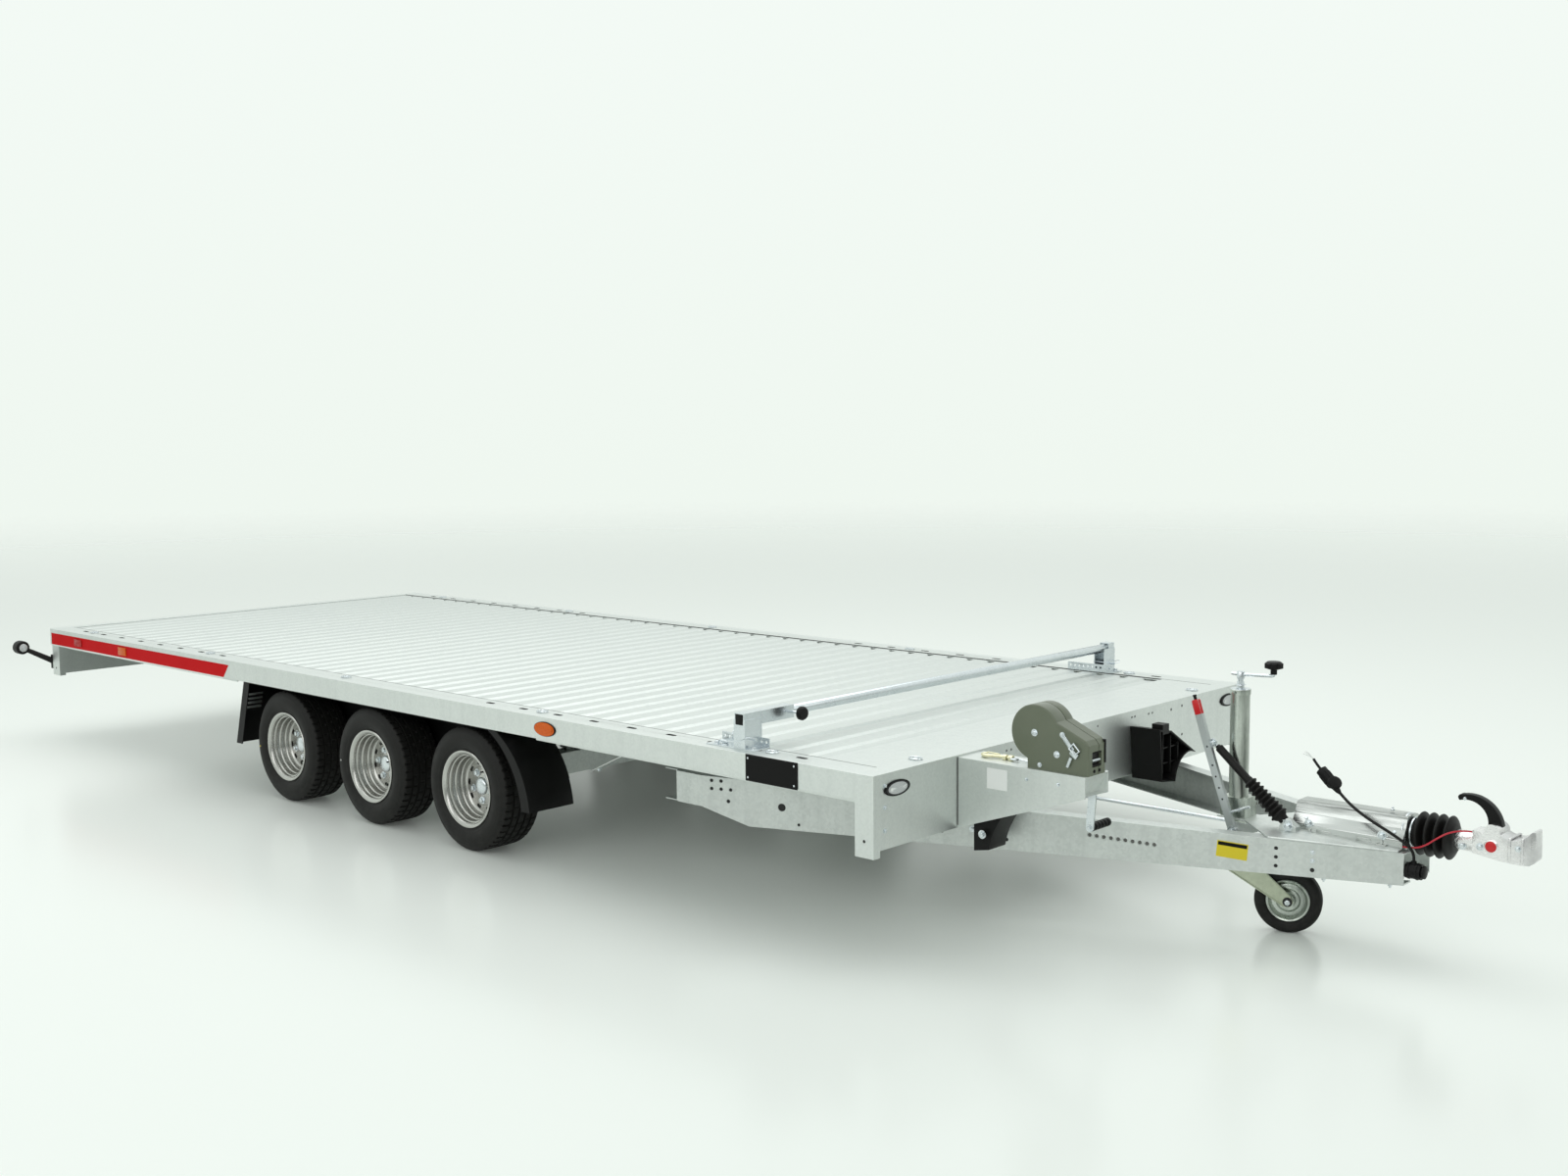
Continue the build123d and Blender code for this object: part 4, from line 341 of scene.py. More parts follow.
red_sheath = grained("red_sheath", (0.55, 0.010, 0.030), (0.42, 0.02, 0.03), 900, 0.30)
gland_x = front + 1176 * mm
plug_route = [
    (gland_x, holder_y, gland_top),
    (gland_x, holder_y, gland_top + 0.026),
    (front + 1.155, holder_y - 0.014, gland_top + 0.052),
    (front + 1.115, holder_y - 0.019, gland_top + 0.076),
    (front + 1.064, holder_y - 0.020, gland_top + 0.099),
    (front + 1.011, holder_y - 0.014, gland_top + 0.124),
    (front + 0.963, holder_y - 0.004, gland_top + 0.154),
    (front + 0.921, holder_y + 0.008, gland_top + 0.189),
]
plug_cable = cord("lighting_cable", plug_route, 4.5 * mm, black_rubber)
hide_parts("plug_cable")
breakaway_route = [
    (housing_front, -0.071, shaft_height - 0.032),
    (housing_front + 0.030, -0.071, shaft_height - 0.032),
    (housing_front + 0.066, -0.078, shaft_height - 0.018),
    (housing_front + 0.100, -0.076, shaft_height + 0.010),
    (housing_front + 0.132, -0.064, shaft_height + 0.032),
    (neck_x - 0.022, -0.026, shaft_height + 0.034),
    (neck_x, -0.026, shaft_height + 0.034),
]
breakaway = cord("breakaway_line", breakaway_route, 2.5 * mm, red_sheath)
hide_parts("breakaway_cable")


def line_length(route_piece):
    # the length of a cord's own smooth line
    bare = route_piece.data.copy()
    bare.bevel_depth = 0
    shadow = bpy.data.objects.new("measure", bare)
    line = bpy.data.meshes.new_from_object(shadow)
    spots = [vertex.co.copy() for vertex in line.vertices]
    bpy.data.objects.remove(shadow)
    bpy.data.meshes.remove(line)
    return sum((b - a).length for a, b in zip(spots, spots[1:]))


line_length(breakaway)

# ---- Folded sheet: floor, rails, panels and posts -------------------------------------
# Galvanised steel sheet from the press brake, with its folds softly rounded, and a floor
# with low cross ribs pressed flat where they meet the rails.


def dress(material, rounding, *names):
    # a carried-over piece gets its finish, and its folds and edges a small radius
    for name in names:
        piece = nodes[name]
        piece.material_slots[0].material = material
        weld = piece.modifiers.new("weld", "WELD")
        weld.merge_threshold = 0.00002
        if rounding:
            fold = piece.modifiers.new("fold", "BEVEL")
            fold.width = rounding * mm
            fold.segments = 2
            fold.limit_method = "ANGLE"
            fold.angle_limit = radians(28)


dress(
    galvanised_sheet, 1.2,
    "front_panel", "rear_panel", "corner_posts", "edge_rail_right", "edge_rail_left", "winch_box",
)


def shape(bm, name, slot, *materials, body="chassis", sharp=35):
    # a finished piece from a bmesh: doubles merged, faces outward, corners crisp
    bmesh.ops.remove_doubles(bm, verts=bm.verts[:], dist=2e-6)
    bmesh.ops.recalc_face_normals(bm, faces=bm.faces[:])
    mesh = bpy.data.meshes.new(name)
    bm.to_mesh(mesh)
    bm.free()
    mesh.shade_smooth()
    mesh.set_sharp_from_angle(angle=radians(sharp))
    for material in materials:
        mesh.materials.append(material)
    return link(bpy.data.objects.new(name, mesh), body)


def fresh(bm, known):
    # the faces made since the known ones were listed
    return [face for face in bm.faces if face not in known]


def corners(faces):
    return list({vert for face in faces for vert in face.verts})


def only_verts(geometry):
    return [part for part in geometry if isinstance(part, bmesh.types.BMVert)]


def tint(bm, known, material):
    for face in fresh(bm, known):
        face.material_index = material


def block(bm, corner, far_corner, rounding=0, material=0, place=None):
    # a block between two corners, with its edges rounded by so many millimetres
    known = set(bm.faces)
    corner, far_corner = Vector(corner), Vector(far_corner)
    made = bmesh.ops.create_cube(bm, size=1)["verts"]
    bmesh.ops.scale(bm, vec=far_corner - corner, verts=made)
    bmesh.ops.translate(bm, vec=(corner + far_corner) / 2, verts=made)
    if rounding:
        edges = list({edge for vert in made for edge in vert.link_edges})
        bmesh.ops.bevel(
            bm, geom=edges, offset=rounding * mm, segments=2, affect="EDGES", profile=0.5, material=-1
        )
    tint(bm, known, material)
    if place is not None:
        bmesh.ops.transform(bm, matrix=place, verts=corners(fresh(bm, known)))


def slab(bm, centre, size, rounding=0, material=0, place=None):
    # a block about its centre, its size in millimetres
    half = Vector(size) * mm / 2
    block(bm, Vector(centre) - half, Vector(centre) + half, rounding, material, place)


def turned(bm, profile, centre, axis, steps=48, closed=False, material=0):
    # a profile of (radius, distance along the axis) pairs in millimetres, turned about an axis
    known = set(bm.faces)
    centre, axis = Vector(centre), Vector(axis).normalized()
    out = axis.orthogonal().normalized()
    ring = [bm.verts.new(centre + out * (radius * mm) + axis * (along * mm)) for radius, along in profile]
    pairs = list(zip(ring, ring[1:])) + ([(ring[-1], ring[0])] if closed else [])
    edges = [bm.edges.new(pair) for pair in pairs]
    bmesh.ops.spin(
        bm, geom=ring + edges, cent=centre, axis=axis, angle=2 * pi, steps=steps, use_merge=True
    )
    tint(bm, known, material)


def facing(place, direction, roll=0):
    # the turn and shift that bring +Z to a direction at a place
    turn = Vector(direction).to_track_quat("Z", "Y").to_matrix().to_4x4()
    return Matrix.Translation(place) @ turn @ Matrix.Rotation(roll, 4, "Z")


def disc(bm, place, direction, radius, top_radius, depth, foot, segments, roll=0):
    # a flat disc or cone in millimetres, standing on a foot above its place
    bmesh.ops.create_cone(
        bm, cap_ends=True, segments=segments, depth=depth * mm, radius1=radius * mm, radius2=top_radius * mm,
        matrix=facing(place, direction, roll) @ Matrix.Translation((0, 0, (foot + depth / 2) * mm)),
    )


def bolt(bm, place, direction, radius=6.5, height=5, washer=True, material=0, roll=0):
    # a hexagon head on its washer, in millimetres
    known = set(bm.faces)
    if washer:
        disc(bm, place, direction, radius * 1.55, radius * 1.5, 1.6, 0, 20)
    disc(bm, place, direction, radius, radius, height, 1.6, 6, roll)
    disc(bm, place, direction, radius * 0.82, radius * 0.6, 1.0, 1.6 + height, 16)
    tint(bm, known, material)


def perforated(bm, outline, holes, place, thickness, material=0):
    # a flat plate with holes; outline and holes are loops of (x, y) in the plate's plane
    known = set(bm.faces)
    edges = []
    for loop in [outline, *holes]:
        verts = [bm.verts.new((x, y, 0)) for x, y in loop]
        edges += [bm.edges.new(pair) for pair in zip(verts, verts[1:] + verts[:1])]
    bmesh.ops.triangle_fill(bm, edges=edges, use_beauty=True, use_dissolve=False, normal=upward)
    grown = bmesh.ops.extrude_face_region(bm, geom=fresh(bm, known), use_keep_orig=True)["geom"]
    bmesh.ops.translate(bm, vec=(0, 0, thickness), verts=only_verts(grown))
    tint(bm, known, material)
    bmesh.ops.transform(bm, matrix=place, verts=corners(fresh(bm, known)))


def round_loop(x, y, radius, count=12, long=0, turn=0):
    # a round hole's outline, or a slot's where it is long
    loop = []
    for i in range(count):
        angle = turn + 2 * pi * i / count
        shift = long if 2 * i < count else -long
        across, along = radius * cos(angle) - shift * sin(turn), radius * sin(angle) + shift * cos(turn)
        loop.append((x + across, y + along))
    return loop


deck_sheet = zinc("deck_sheet", (0.66, 0.69, 0.67), (0.56, 0.59, 0.58), 160, roughness=0.48, bump=0.08)
# the sheet lies between the rails; its ribs are set out from the rear
floor_edge = half_width - 105 * mm
floor_rear, floor_front = low("deck_floor").x, front - 285 * mm
rib_pitch, rib_top, rib_slope, rib_rise = 109 * mm, 58 * mm, 12 * mm, 7 * mm
sheet_top = deck - 3 * mm
sheet_low = sheet_top - rib_rise
ribs = [(floor_rear, sheet_low)]
rib_start = rear + 46 * mm
while rib_start + rib_top + 2 * rib_slope < floor_front:
    ribs += [(rib_start, sheet_low), (rib_start + rib_slope, sheet_top)]
    ribs += [(rib_start + rib_slope + rib_top, sheet_top), (rib_start + 2 * rib_slope + rib_top, sheet_low)]
    rib_start += rib_pitch
ribs += [(floor_front - rib_slope, sheet_low), (floor_front, sheet_top)]


def folded(bm, points, y, width, thickness):
    # a sheet that follows (x, z) points and runs across the trailer from y
    known = set(bm.faces)
    row = [bm.verts.new((x, y, z)) for x, z in points]
    edges = [bm.edges.new(pair) for pair in zip(row, row[1:])]
    grown = bmesh.ops.extrude_edge_only(bm, edges=edges)["geom"]
    bmesh.ops.translate(bm, vec=(0, width, 0), verts=only_verts(grown))
    bmesh.ops.recalc_face_normals(bm, faces=fresh(bm, known))
    bmesh.ops.solidify(bm, geom=fresh(bm, known), thickness=thickness)


pressed_floor = bmesh.new()
folded(pressed_floor, ribs, -floor_edge, 2 * floor_edge, 2 * mm)
for sign in both_sides:
    # flattened ends of the ribs
    block(pressed_floor, (floor_rear, sign * floor_edge - 9 * mm, sheet_top - 2.5 * mm),
          (floor_front, sign * floor_edge + 9 * mm, sheet_top - 0.2 * mm), 0.4)
dressed_floor = shape(pressed_floor, "ribbed_floor", "galvanised", deck_sheet, sharp=25)
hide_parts("deck_floor")

# dark mastic in the seams, and a dark sleeve of painted shade in each slot of the rails
sealant_and_slot_shade = grained("sealant_and_slot_shade", (0.045, 0.047, 0.045), (0.09, 0.09, 0.09))
seams = bmesh.new()
slot_pitch = 195 * mm
slot_places = [front - 0.338 - slot_pitch * k for k in range(9)]
slot_places += [rear + 0.275 + slot_pitch * k for k in range(8)]
for sign in both_sides:
    seam_y, slot_y = sign * floor_edge, sign * (half_width - 63 * mm)
    block(seams, (rear + 0.046, seam_y - 1.5 * mm, sheet_top),
          (floor_front + 0.21, seam_y + 1.5 * mm, deck + 0.4 * mm), 0.3)
    for x in slot_places:
        outer, inner = [round_loop(x, slot_y, radius * mm, 16, 13 * mm, pi / 2) for radius in (8.9, 8.0)]
        perforated(seams, outer, [inner], Matrix.Translation((0, 0, deck - 16 * mm)), 16.3 * mm)
shape(seams, "seams_and_slot_shade", "black_rubber", sealant_and_slot_shade)

# ---- Frame sections -------------------------------------------------------------------
# Rolled and folded sections, hot-dip galvanised in one piece and rougher than the sheet.
dress(galvanised_section, 3.5, "chassis_beams", "drawbar_beam_right", "drawbar_beam_left")
dress(
    galvanised_section, 2,
    "cross_members", "drawbar_brackets", "axle_front", "axle_mid", "axle_rear", "overrun_base",
)
dress(
    bright_zinc, 1,
    "jockey_crank", "stop_brackets", "brake_linkage", "winch_crank", "lashing_eyes", "stop_bar",
)
dress(grey_zinc, 1.5, "jockey_fork")
dress(yellow_zinc, 1, "winch_hook")
dress(
    moulded_black, 1,
    "mudguard_right", "mudguard_left", "jockey_knob", "stop_knob", "winch_grip",
    "wheel_chocks", "plug", "plug_holder",
)
dress(black_rubber, 0, "overrun_bellows", "brake_spring", "outline_lamps")

# ---- Road wheels ----------------------------------------------------------------------
# Low-profile ten-inch tyres on deep-dished silver steel rims, five bolts and a bright hub
# cap, with the cast brake drum behind each disc.
wheel_silver = grained(
    "wheel_silver", (0.50, 0.50, 0.475), (0.38, 0.38, 0.36), 1600, 0.21, 0.5, metal=0.95, bump=0.05,
    dust=0.06, Coat_Weight=0.2,
)
tyre_rubber = grained(
    "tyre_rubber", (0.0055, 0.0055, 0.0048), (0.012, 0.0115, 0.0105), 500, 0.55, 0.6, bump=0.2, dust=0.04,
    Specular_IOR_Level=0.28,
)
drum_iron = grained(
    "drum_iron", (0.075, 0.072, 0.070), (0.14, 0.11, 0.09), 300, 0.55, 0.8, metal=0.6, bump=0.3
)
white_dot = grained("white_dot", (0.80, 0.80, 0.78), (0.7, 0.7, 0.68))
yellow_dot = grained("yellow_dot", (0.75, 0.62, 0.05), (0.7, 0.6, 0.1))

bead_half, bulge, fine_ring = 80, 17.5, 1.2
side_steps = 18
half_section = []
for i in range(side_steps + 1):
    share = i / side_steps
    swell = (bulge - fine_ring) * sin(pi * min(1, share * 0.94 + 0.04)) ** 0.75
    # two fine rings stand proud of the sidewall
    half_section.append((150 + 78 * share, bead_half + swell + (fine_ring if i in (3, 15) else 0)))
half_section += [(232.5, 79), (235.5, 75), (236.4, 70)]
for groove in (46, 16):
    half_section += [(237.2, groove + 5), (231, groove + 3.6), (231, groove - 3.6), (237.6, groove - 5)]
other_half = [(radius, -along) for radius, along in half_section]
section = [(131, -bead_half), *other_half, *reversed(half_section), (131, bead_half)]
tyre_form = bmesh.new()
turned(tyre_form, section, (0, 0, 0), (0, 1, 0), steps=144, closed=True)
bmesh.ops.remove_doubles(tyre_form, verts=tyre_form.verts[:], dist=1e-6)
bmesh.ops.recalc_face_normals(tyre_form, faces=tyre_form.faces[:])


def sipes(bm, y_from, y_to, every, offset, inset, depth):
    # cross cuts in the tread ribs
    chosen = []
    for face in bm.faces:
        spot = face.calc_center_median()
        radius = (spot.x**2 + spot.z**2) ** 0.5
        if radius > 233.5 * mm and y_from * mm < spot.y < y_to * mm:
            angle = Vector((spot.x, spot.z)).angle_signed(Vector((1, 0)))
            if int(round((angle / (2 * pi) % 1) * 144 - 0.5) + offset) % every == 0:
                chosen.append(face)
    bmesh.ops.inset_individual(
        bm, faces=chosen, thickness=inset * mm, depth=-depth * mm, use_even_offset=True
    )


for cuts in (
    (52, 78.5, 3, 0, 1.2, 4), (-78.5, -52, 3, 1, 1.2, 4), (22, 40, 4, 0, 2.2, 3), (-40, -22, 4, 2, 2.2, 3),
    (-10, 10, 4, 1, 2.4, 3),
):
    sipes(tyre_form, *cuts)

# the barrel steps outward three times before the rolled edge
outer_dish = [
    (109, 0), (110, 12), (111.5, 21), (113, 23), (115.5, 24.5), (116, 34), (117.5, 44), (119, 46.5),
    (122, 48), (122.5, 56), (124, 65), (125.5, 67.5), (129, 69), (129.5, 74), (131, 79.5), (134.5, 83.5),
    (139, 87.4), (143, 89), (146.5, 88.6), (148, 86.5),
]
inner_barrel = [
    (148, 81), (130.7, 80.3), (130.7, -80.3), (148, -81), (148, -86), (143, -88), (136, -84), (127, -79),
    (126, -45), (114, -30), (109, -8),
]
# pressed steps of the disc: one near the rim, one raised land under the bolts
edge_step = [(110, 9), (105, 10.5), (101, 8), (98, 4.6), (98, 1), (110, 1)]
bolt_land = [(78, 4.5), (75, 8), (72, 9.5), (44, 9.5), (40, 12), (34, 12), (33, 1), (78, 1)]
hub_cap = [(33.5, 8), (33.5, 16), (31.5, 20), (26, 23.5), (14, 25.6), (0, 26), (0, 8)]
brake_drum = [
    (20.3, -12), (94, -12), (94, -26), (91, -28), (91, -56), (96, -59), (96, -69), (88, -70), (20.3, -70),
]
valve = [(5, 56), (4.5, 74), (3.2, 76), (3.2, 88), (0, 88)]
rim_form = bmesh.new()
turned(rim_form, outer_dish + inner_barrel, (0, 0, 0), rightward, steps=96, closed=True)
openings = [
    round_loop(88 * mm * cos(turn), 88 * mm * sin(turn), 7.5 * mm, 14, 5 * mm, turn)
    for turn in (k * pi / 5 for k in range(10))
]
openings.append(round_loop(0, 0, 30 * mm, 24))
perforated(rim_form, round_loop(0, 0, 110 * mm, 72), openings, Matrix.Rotation(pi / 2, 4, "X"), 5 * mm)
for profile, steps, closed, tone in (
    (edge_step, 72, True, 0), (bolt_land, 60, True, 0), (hub_cap, 40, False, 1),
):
    turned(rim_form, profile, (0, 0, 0), rightward, steps, closed, tone)
for k in range(5):
    angle = (k + 0.25) * 2 * pi / 5
    spot = (56 * mm * cos(angle), -9.5 * mm, 56 * mm * sin(angle))
    bolt(rim_form, spot, rightward, 10, 9, material=1, roll=angle)
turned(rim_form, brake_drum, (0, 0, 0), rightward, 60, True, 2)
turned(rim_form, valve, (0.1235, 0, 0.012), rightward, 12, material=3)

wheel_turns = {
    "rear_right": 0.5, "mid_right": 6.1, "front_right": 5.7,
    "rear_left": 0.9, "mid_left": 2.6, "front_left": 4.4,
}
# a balance mark on some tyres: its angle and its paint
tyre_dots = {"rear_right": (3.75, 2), "mid_right": (2.95, 1), "rear_left": (2.4, 2), "front_left": (0.7, 1)}
for wheel, turn in wheel_turns.items():
    hub = middle(f"tyre_{wheel}")
    heading = Matrix.Rotation(pi, 4, "Z") if wheel.endswith("left") else Matrix.Identity(4)
    place = Matrix.Translation(hub) @ heading @ Matrix.Rotation(turn, 4, "Y")
    for form, part, slot, materials in (
        (tyre_form, "tyre", "tyre", (tyre_rubber, white_dot, yellow_dot)),
        (rim_form, "rim", "wheel_silver", (wheel_silver, bright_zinc, drum_iron, moulded_black)),
    ):
        copy = form.copy()
        if part == "tyre" and wheel in tyre_dots:
            dot_angle, dot = tyre_dots[wheel]
            known = set(copy.faces)
            spot = (0.197 * cos(dot_angle), -97.2 * mm, 0.197 * sin(dot_angle))
            disc(copy, spot, rightward, 3.2, 3, 0.8, -0.4, 14)
            tint(copy, known, dot)
        bmesh.ops.transform(copy, matrix=place, verts=copy.verts[:])
        dressed = shape(copy, f"{part}_dressed_{wheel}", slot, *materials, body=f"wheel_{wheel}")
        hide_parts(f"{part}_{wheel}")
tyre_form.free()
rim_form.free()

# ---- Stripes, plate, reflectors and side lamps on the rails ---------------------------
# Red reflective vinyl runs along the rear third of each fascia, with a blank black plate
# by the wheel stop on the right-hand rail; the lamps are clipped-on ovals.
red_vinyl = grained(
    "red_vinyl", (0.60, 0.003, 0.006), (0.52, 0.004, 0.008), 1800, 0.60, bump=0.03, Specular_IOR_Level=0.12
)
white_vinyl = grained("white_vinyl", (0.84, 0.86, 0.84), (0.76, 0.78, 0.76), 1800, 0.35, bump=0.03)
black_vinyl = grained(
    "black_vinyl", (0.004, 0.004, 0.004), (0.010, 0.010, 0.010), 1800, 0.45, bump=0.03,
    Specular_IOR_Level=0.12,
)
yellow_vinyl = grained("yellow_vinyl", (0.72, 0.58, 0.010), (0.62, 0.50, 0.02), 1800, 0.35, bump=0.03)
# near-black discs and blocks of painted shade in holes, the coupling's socket and the winch's mouth; the
# same black is used for the front lamps' rings and the jockey's hub discs
dim_painted_shade = grained("dim_painted_shade", (0.13, 0.13, 0.12), (0.19, 0.19, 0.18))
black_and_painted_shade = grained("black_and_painted_shade", (0.008, 0.008, 0.008), (0.015, 0.015, 0.015))


def lens(name, tone, deep, clear=0.0):
    # moulded lens plastic with fine vertical flutes inside
    material = bpy.data.materials.new(name)
    tree = emptied(material)
    spot = put(tree, "ShaderNodeTexCoord").outputs["Object"]
    flutes = put(
        tree, "ShaderNodeTexWave", {"Vector": spot, "Scale": 110.0, "Distortion": 0.4, "Detail": 1.0},
        bands_direction="DIAGONAL",
    ).outputs["Fac"]
    tones = between(tree, flutes, deep, tone)
    relief = put(tree, "ShaderNodeBump", {"Strength": 0.25, "Distance": 0.0006, "Height": flutes})
    shader = put(tree, "ShaderNodeBsdfPrincipled", {
        "Base Color": tones, "Normal": relief.outputs[0], "Roughness": 0.22,
        "Transmission Weight": clear, "Specular IOR Level": 0.25,
    })
    put(tree, "ShaderNodeOutputMaterial", {0: shader.outputs[0]})
    return material


amber_lens = lens("amber_lens", (0.86, 0.17, 0.003), (0.46, 0.045, 0.001))
red_lens = lens("red_lens", (0.60, 0.008, 0.008), (0.25, 0.004, 0.004))
clear_lens = lens("clear_lens", (0.92, 0.94, 0.94), (0.62, 0.66, 0.66), clear=0.35)

stripe_low, stripe_high, stripe_rim = 493 * mm, 551 * mm, 487 * mm
skin = 0.6 * mm
side_signs = {"right": -1, "left": 1}
for side, sign in side_signs.items():
    stripe = bmesh.new()
    face = sign * half_width
    upright = Matrix.Translation((rear, max(face, face + sign * skin), 0)) @ Matrix.Rotation(pi / 2, 4, "X")
    # the stripe's front end is cut on the slant
    red_field = [(0.015, stripe_low), (1.755, stripe_low), (1.802, stripe_high), (0.015, stripe_high)]
    white_rim = [(0.015, stripe_rim), (1.750, stripe_rim), (1.755, stripe_low), (0.015, stripe_low)]
    for tone, outline in enumerate((red_field, white_rim)):
        perforated(stripe, outline, [], upright, skin, material=tone)
    shape(stripe, f"fascia_stripe_{side}", "galvanised", red_vinyl, white_vinyl)
    reflector = bmesh.new()
    block(reflector, (rear + 0.283, face + sign * skin, stripe_low + 13 * mm),
          (rear + 0.363, face + sign * 5 * mm, stripe_low + 47 * mm), 1.5)
    shape(reflector, f"rear_reflector_{side}", "red_lens", red_lens)

plate = bmesh.new()
plate_x, plate_z, plate_end = front - 0.518, deck - 85 * mm, front - 0.299
plate_face = -half_width - 3 * mm
block(plate, (plate_x, plate_face, plate_z), (plate_end, -half_width, deck), 1)
block(plate, (plate_x + 4 * mm, plate_face - skin, plate_z + 4 * mm),
      (plate_end - 4 * mm, plate_face, deck - 4 * mm), material=1)
for x in (plate_x + 0.012, plate_end - 0.012):
    for z in (plate_z + 0.012, deck - 0.012):
        spot = (x, plate_face - 0.4 * mm, z)
        turned(plate, [(3.5, 0), (3.4, 1.4), (2, 2.2), (0, 2.4)], spot, rightward, 12, material=2)
shape(plate, "blank_side_plate", "black_plastic", moulded_black, black_vinyl, bright_zinc)


def oval_lamp(name, centre, out, along, glass, slot, long=60, high=24, rim_share=0.80, bright=None):
    # a moulded base, a domed lens over most of it and a ring between the two
    lamp = bmesh.new()
    deep = 8 * mm
    centre, out, along = Vector(centre), Vector(out), Vector(along)
    for share, low_at, high_at, dome, material in (
        (1.0, 0.0, 0.45, 0.0, 1), (0.90, 0.40, 0.62, 0.0, 2), (rim_share, 0.45, 0.70, 0.30, 0),
    ):
        known = set(lamp.faces)
        loop = bmesh.ops.create_circle(lamp, segments=40, radius=high * mm * share)["verts"]
        bmesh.ops.scale(lamp, vec=(long / high, 1, 1), verts=loop)
        rim = bmesh.ops.contextual_create(lamp, geom=list({e for v in loop for e in v.link_edges}))["faces"]
        grown = bmesh.ops.extrude_face_region(lamp, geom=rim, use_keep_orig=True)["geom"]
        bmesh.ops.translate(lamp, vec=(0, 0, deep * (high_at - low_at)), verts=only_verts(grown))
        cap = [f for f in grown if isinstance(f, bmesh.types.BMFace)]
        for step in (0.30, 0.34, 0.36) if dome else ():
            bmesh.ops.inset_region(lamp, faces=cap, thickness=high * mm * share * step, depth=0)
            bmesh.ops.translate(lamp, vec=(0, 0, deep * dome * (0.62 - step)), verts=corners(cap))
        bmesh.ops.translate(lamp, vec=(0, 0, deep * low_at), verts=corners(fresh(lamp, known)))
        tint(lamp, known, material)
    place = Matrix.Translation(centre) @ Matrix((along, out.cross(along), out)).transposed().to_4x4()
    bmesh.ops.transform(lamp, matrix=place, verts=lamp.verts[:])
    made = shape(lamp, name, slot, glass, moulded_black, bright or moulded_black, sharp=50)
    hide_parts("marker_lamps")


marker_x, marker_z = front - 1.505, deck - 42 * mm
lamp_y, lamp_z = half_width - 0.108, deck - 51 * mm
for side, sign in side_signs.items():
    oval_lamp(f"side_marker_{side}", (marker_x, sign * half_width, marker_z), (0, sign, 0), forward,
              amber_lens, "amber_lens", 58, 26, 0.93)
    oval_lamp(f"front_lamp_{side}", (front, sign * lamp_y, lamp_z), forward, (0, sign, 0), clear_lens,
              "amber_lens", rim_share=0.74, bright=black_and_painted_shade)
    rear_marker = bmesh.new()
    block(rear_marker, (rear + 0.757, sign * (half_width + skin), stripe_low + 10 * mm),
          (rear + 0.837, sign * (half_width + 6 * mm), stripe_low + 50 * mm), 3)
    shape(rear_marker, f"rear_side_marker_{side}", "amber_lens", amber_lens)

# ---- Lashing eyes ---------------------------------------------------------------------
# Forged folding rings on small round seats, let into the rails.
platform = front - rear
eye_places = [(rear + share * platform, half_width - 63 * mm) for share in (0.067, 0.278, 0.480, 0.710)]
eye_places += [(front - 0.462, half_width - 63 * mm), (front - 0.061, 0.845)]
for side, sign in side_signs.items():
    eyes = bmesh.new()
    for x, y in eye_places:
        seat = Vector((x, sign * y, deck))
        turned(eyes, [(18, 0), (17, 1.2), (9, 1.6), (8, 0.4), (0, 0.4)], seat, upward, 28, material=1)
        # the ring lies on the seat, a round bar bent to a rounded oblong
        ring = [(16.5 + 2.4 * cos(k * pi / 4), 3.6 + 2.4 * sin(k * pi / 4)) for k in range(8)]
        known = set(eyes.faces)
        turned(eyes, ring, seat, upward, 28, closed=True)
        for vert in corners(fresh(eyes, known)):
            vert.co.x += 5 * mm * (1 if vert.co.x > seat.x else -1)
        block(eyes, seat - Vector((7, 9, 0)) * mm, seat + Vector((7, 9, 4.6)) * mm, 1.2)
    made = shape(eyes, f"lashing_rings_{side}", "zinc", bright_zinc, galvanised_section)
    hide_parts("lashing_eyes")

# ---- Holes, rings and bolts of the panels and the drawbar ------------------------------
# Galvanising and fixing holes, each a dark disc of painted shade, rows of pressed rings in the drawbar's
# webs and zinc bolts.
slant = radians(20.7)
half_gap, web_wall = 97 * mm, 5 * mm


def beam_face(back, z, sign, inside=False):
    # a spot on a drawbar beam's web, so far behind the nose, and where that face looks
    y = half_gap + back * tan(slant) - (web_wall / cos(slant) if inside else 0)
    look = Vector((sin(slant), cos(slant) * sign, 0)) * (-1 if inside else 1)
    return Vector((drawbar_nose - back, sign * y, z)), look


def hole(bm, place, look, radius):
    # a punched hole: a dark disc of painted shade with a thin bright burr round it
    turned(bm, [(radius, 0.15), (0, 0.15)], place, look, steps=16, material=1)
    ring = [(radius, 0), (radius + 0.3, 0.5), (radius + 0.8, 0.4), (radius + 1.12, 0)]
    turned(bm, ring, place, look, steps=16, closed=True)


fixings = bmesh.new()
beam_under = low("drawbar_beam_left").z
beam_length = drawbar_nose - low("drawbar_beam_left").x
nose_height, beam_rise = 0.096, 0.068
row_start = 0.673
row_z = beam_under + (nose_height + row_start * beam_rise / beam_length) / 2


def shade(place, look, radius, material=1):
    # painted shade seen through a punched hole: a dark disc set back from the face
    turned(fixings, [(radius + 0.5, -1.5), (0, -1.5)], place, look, steps=20, material=material)


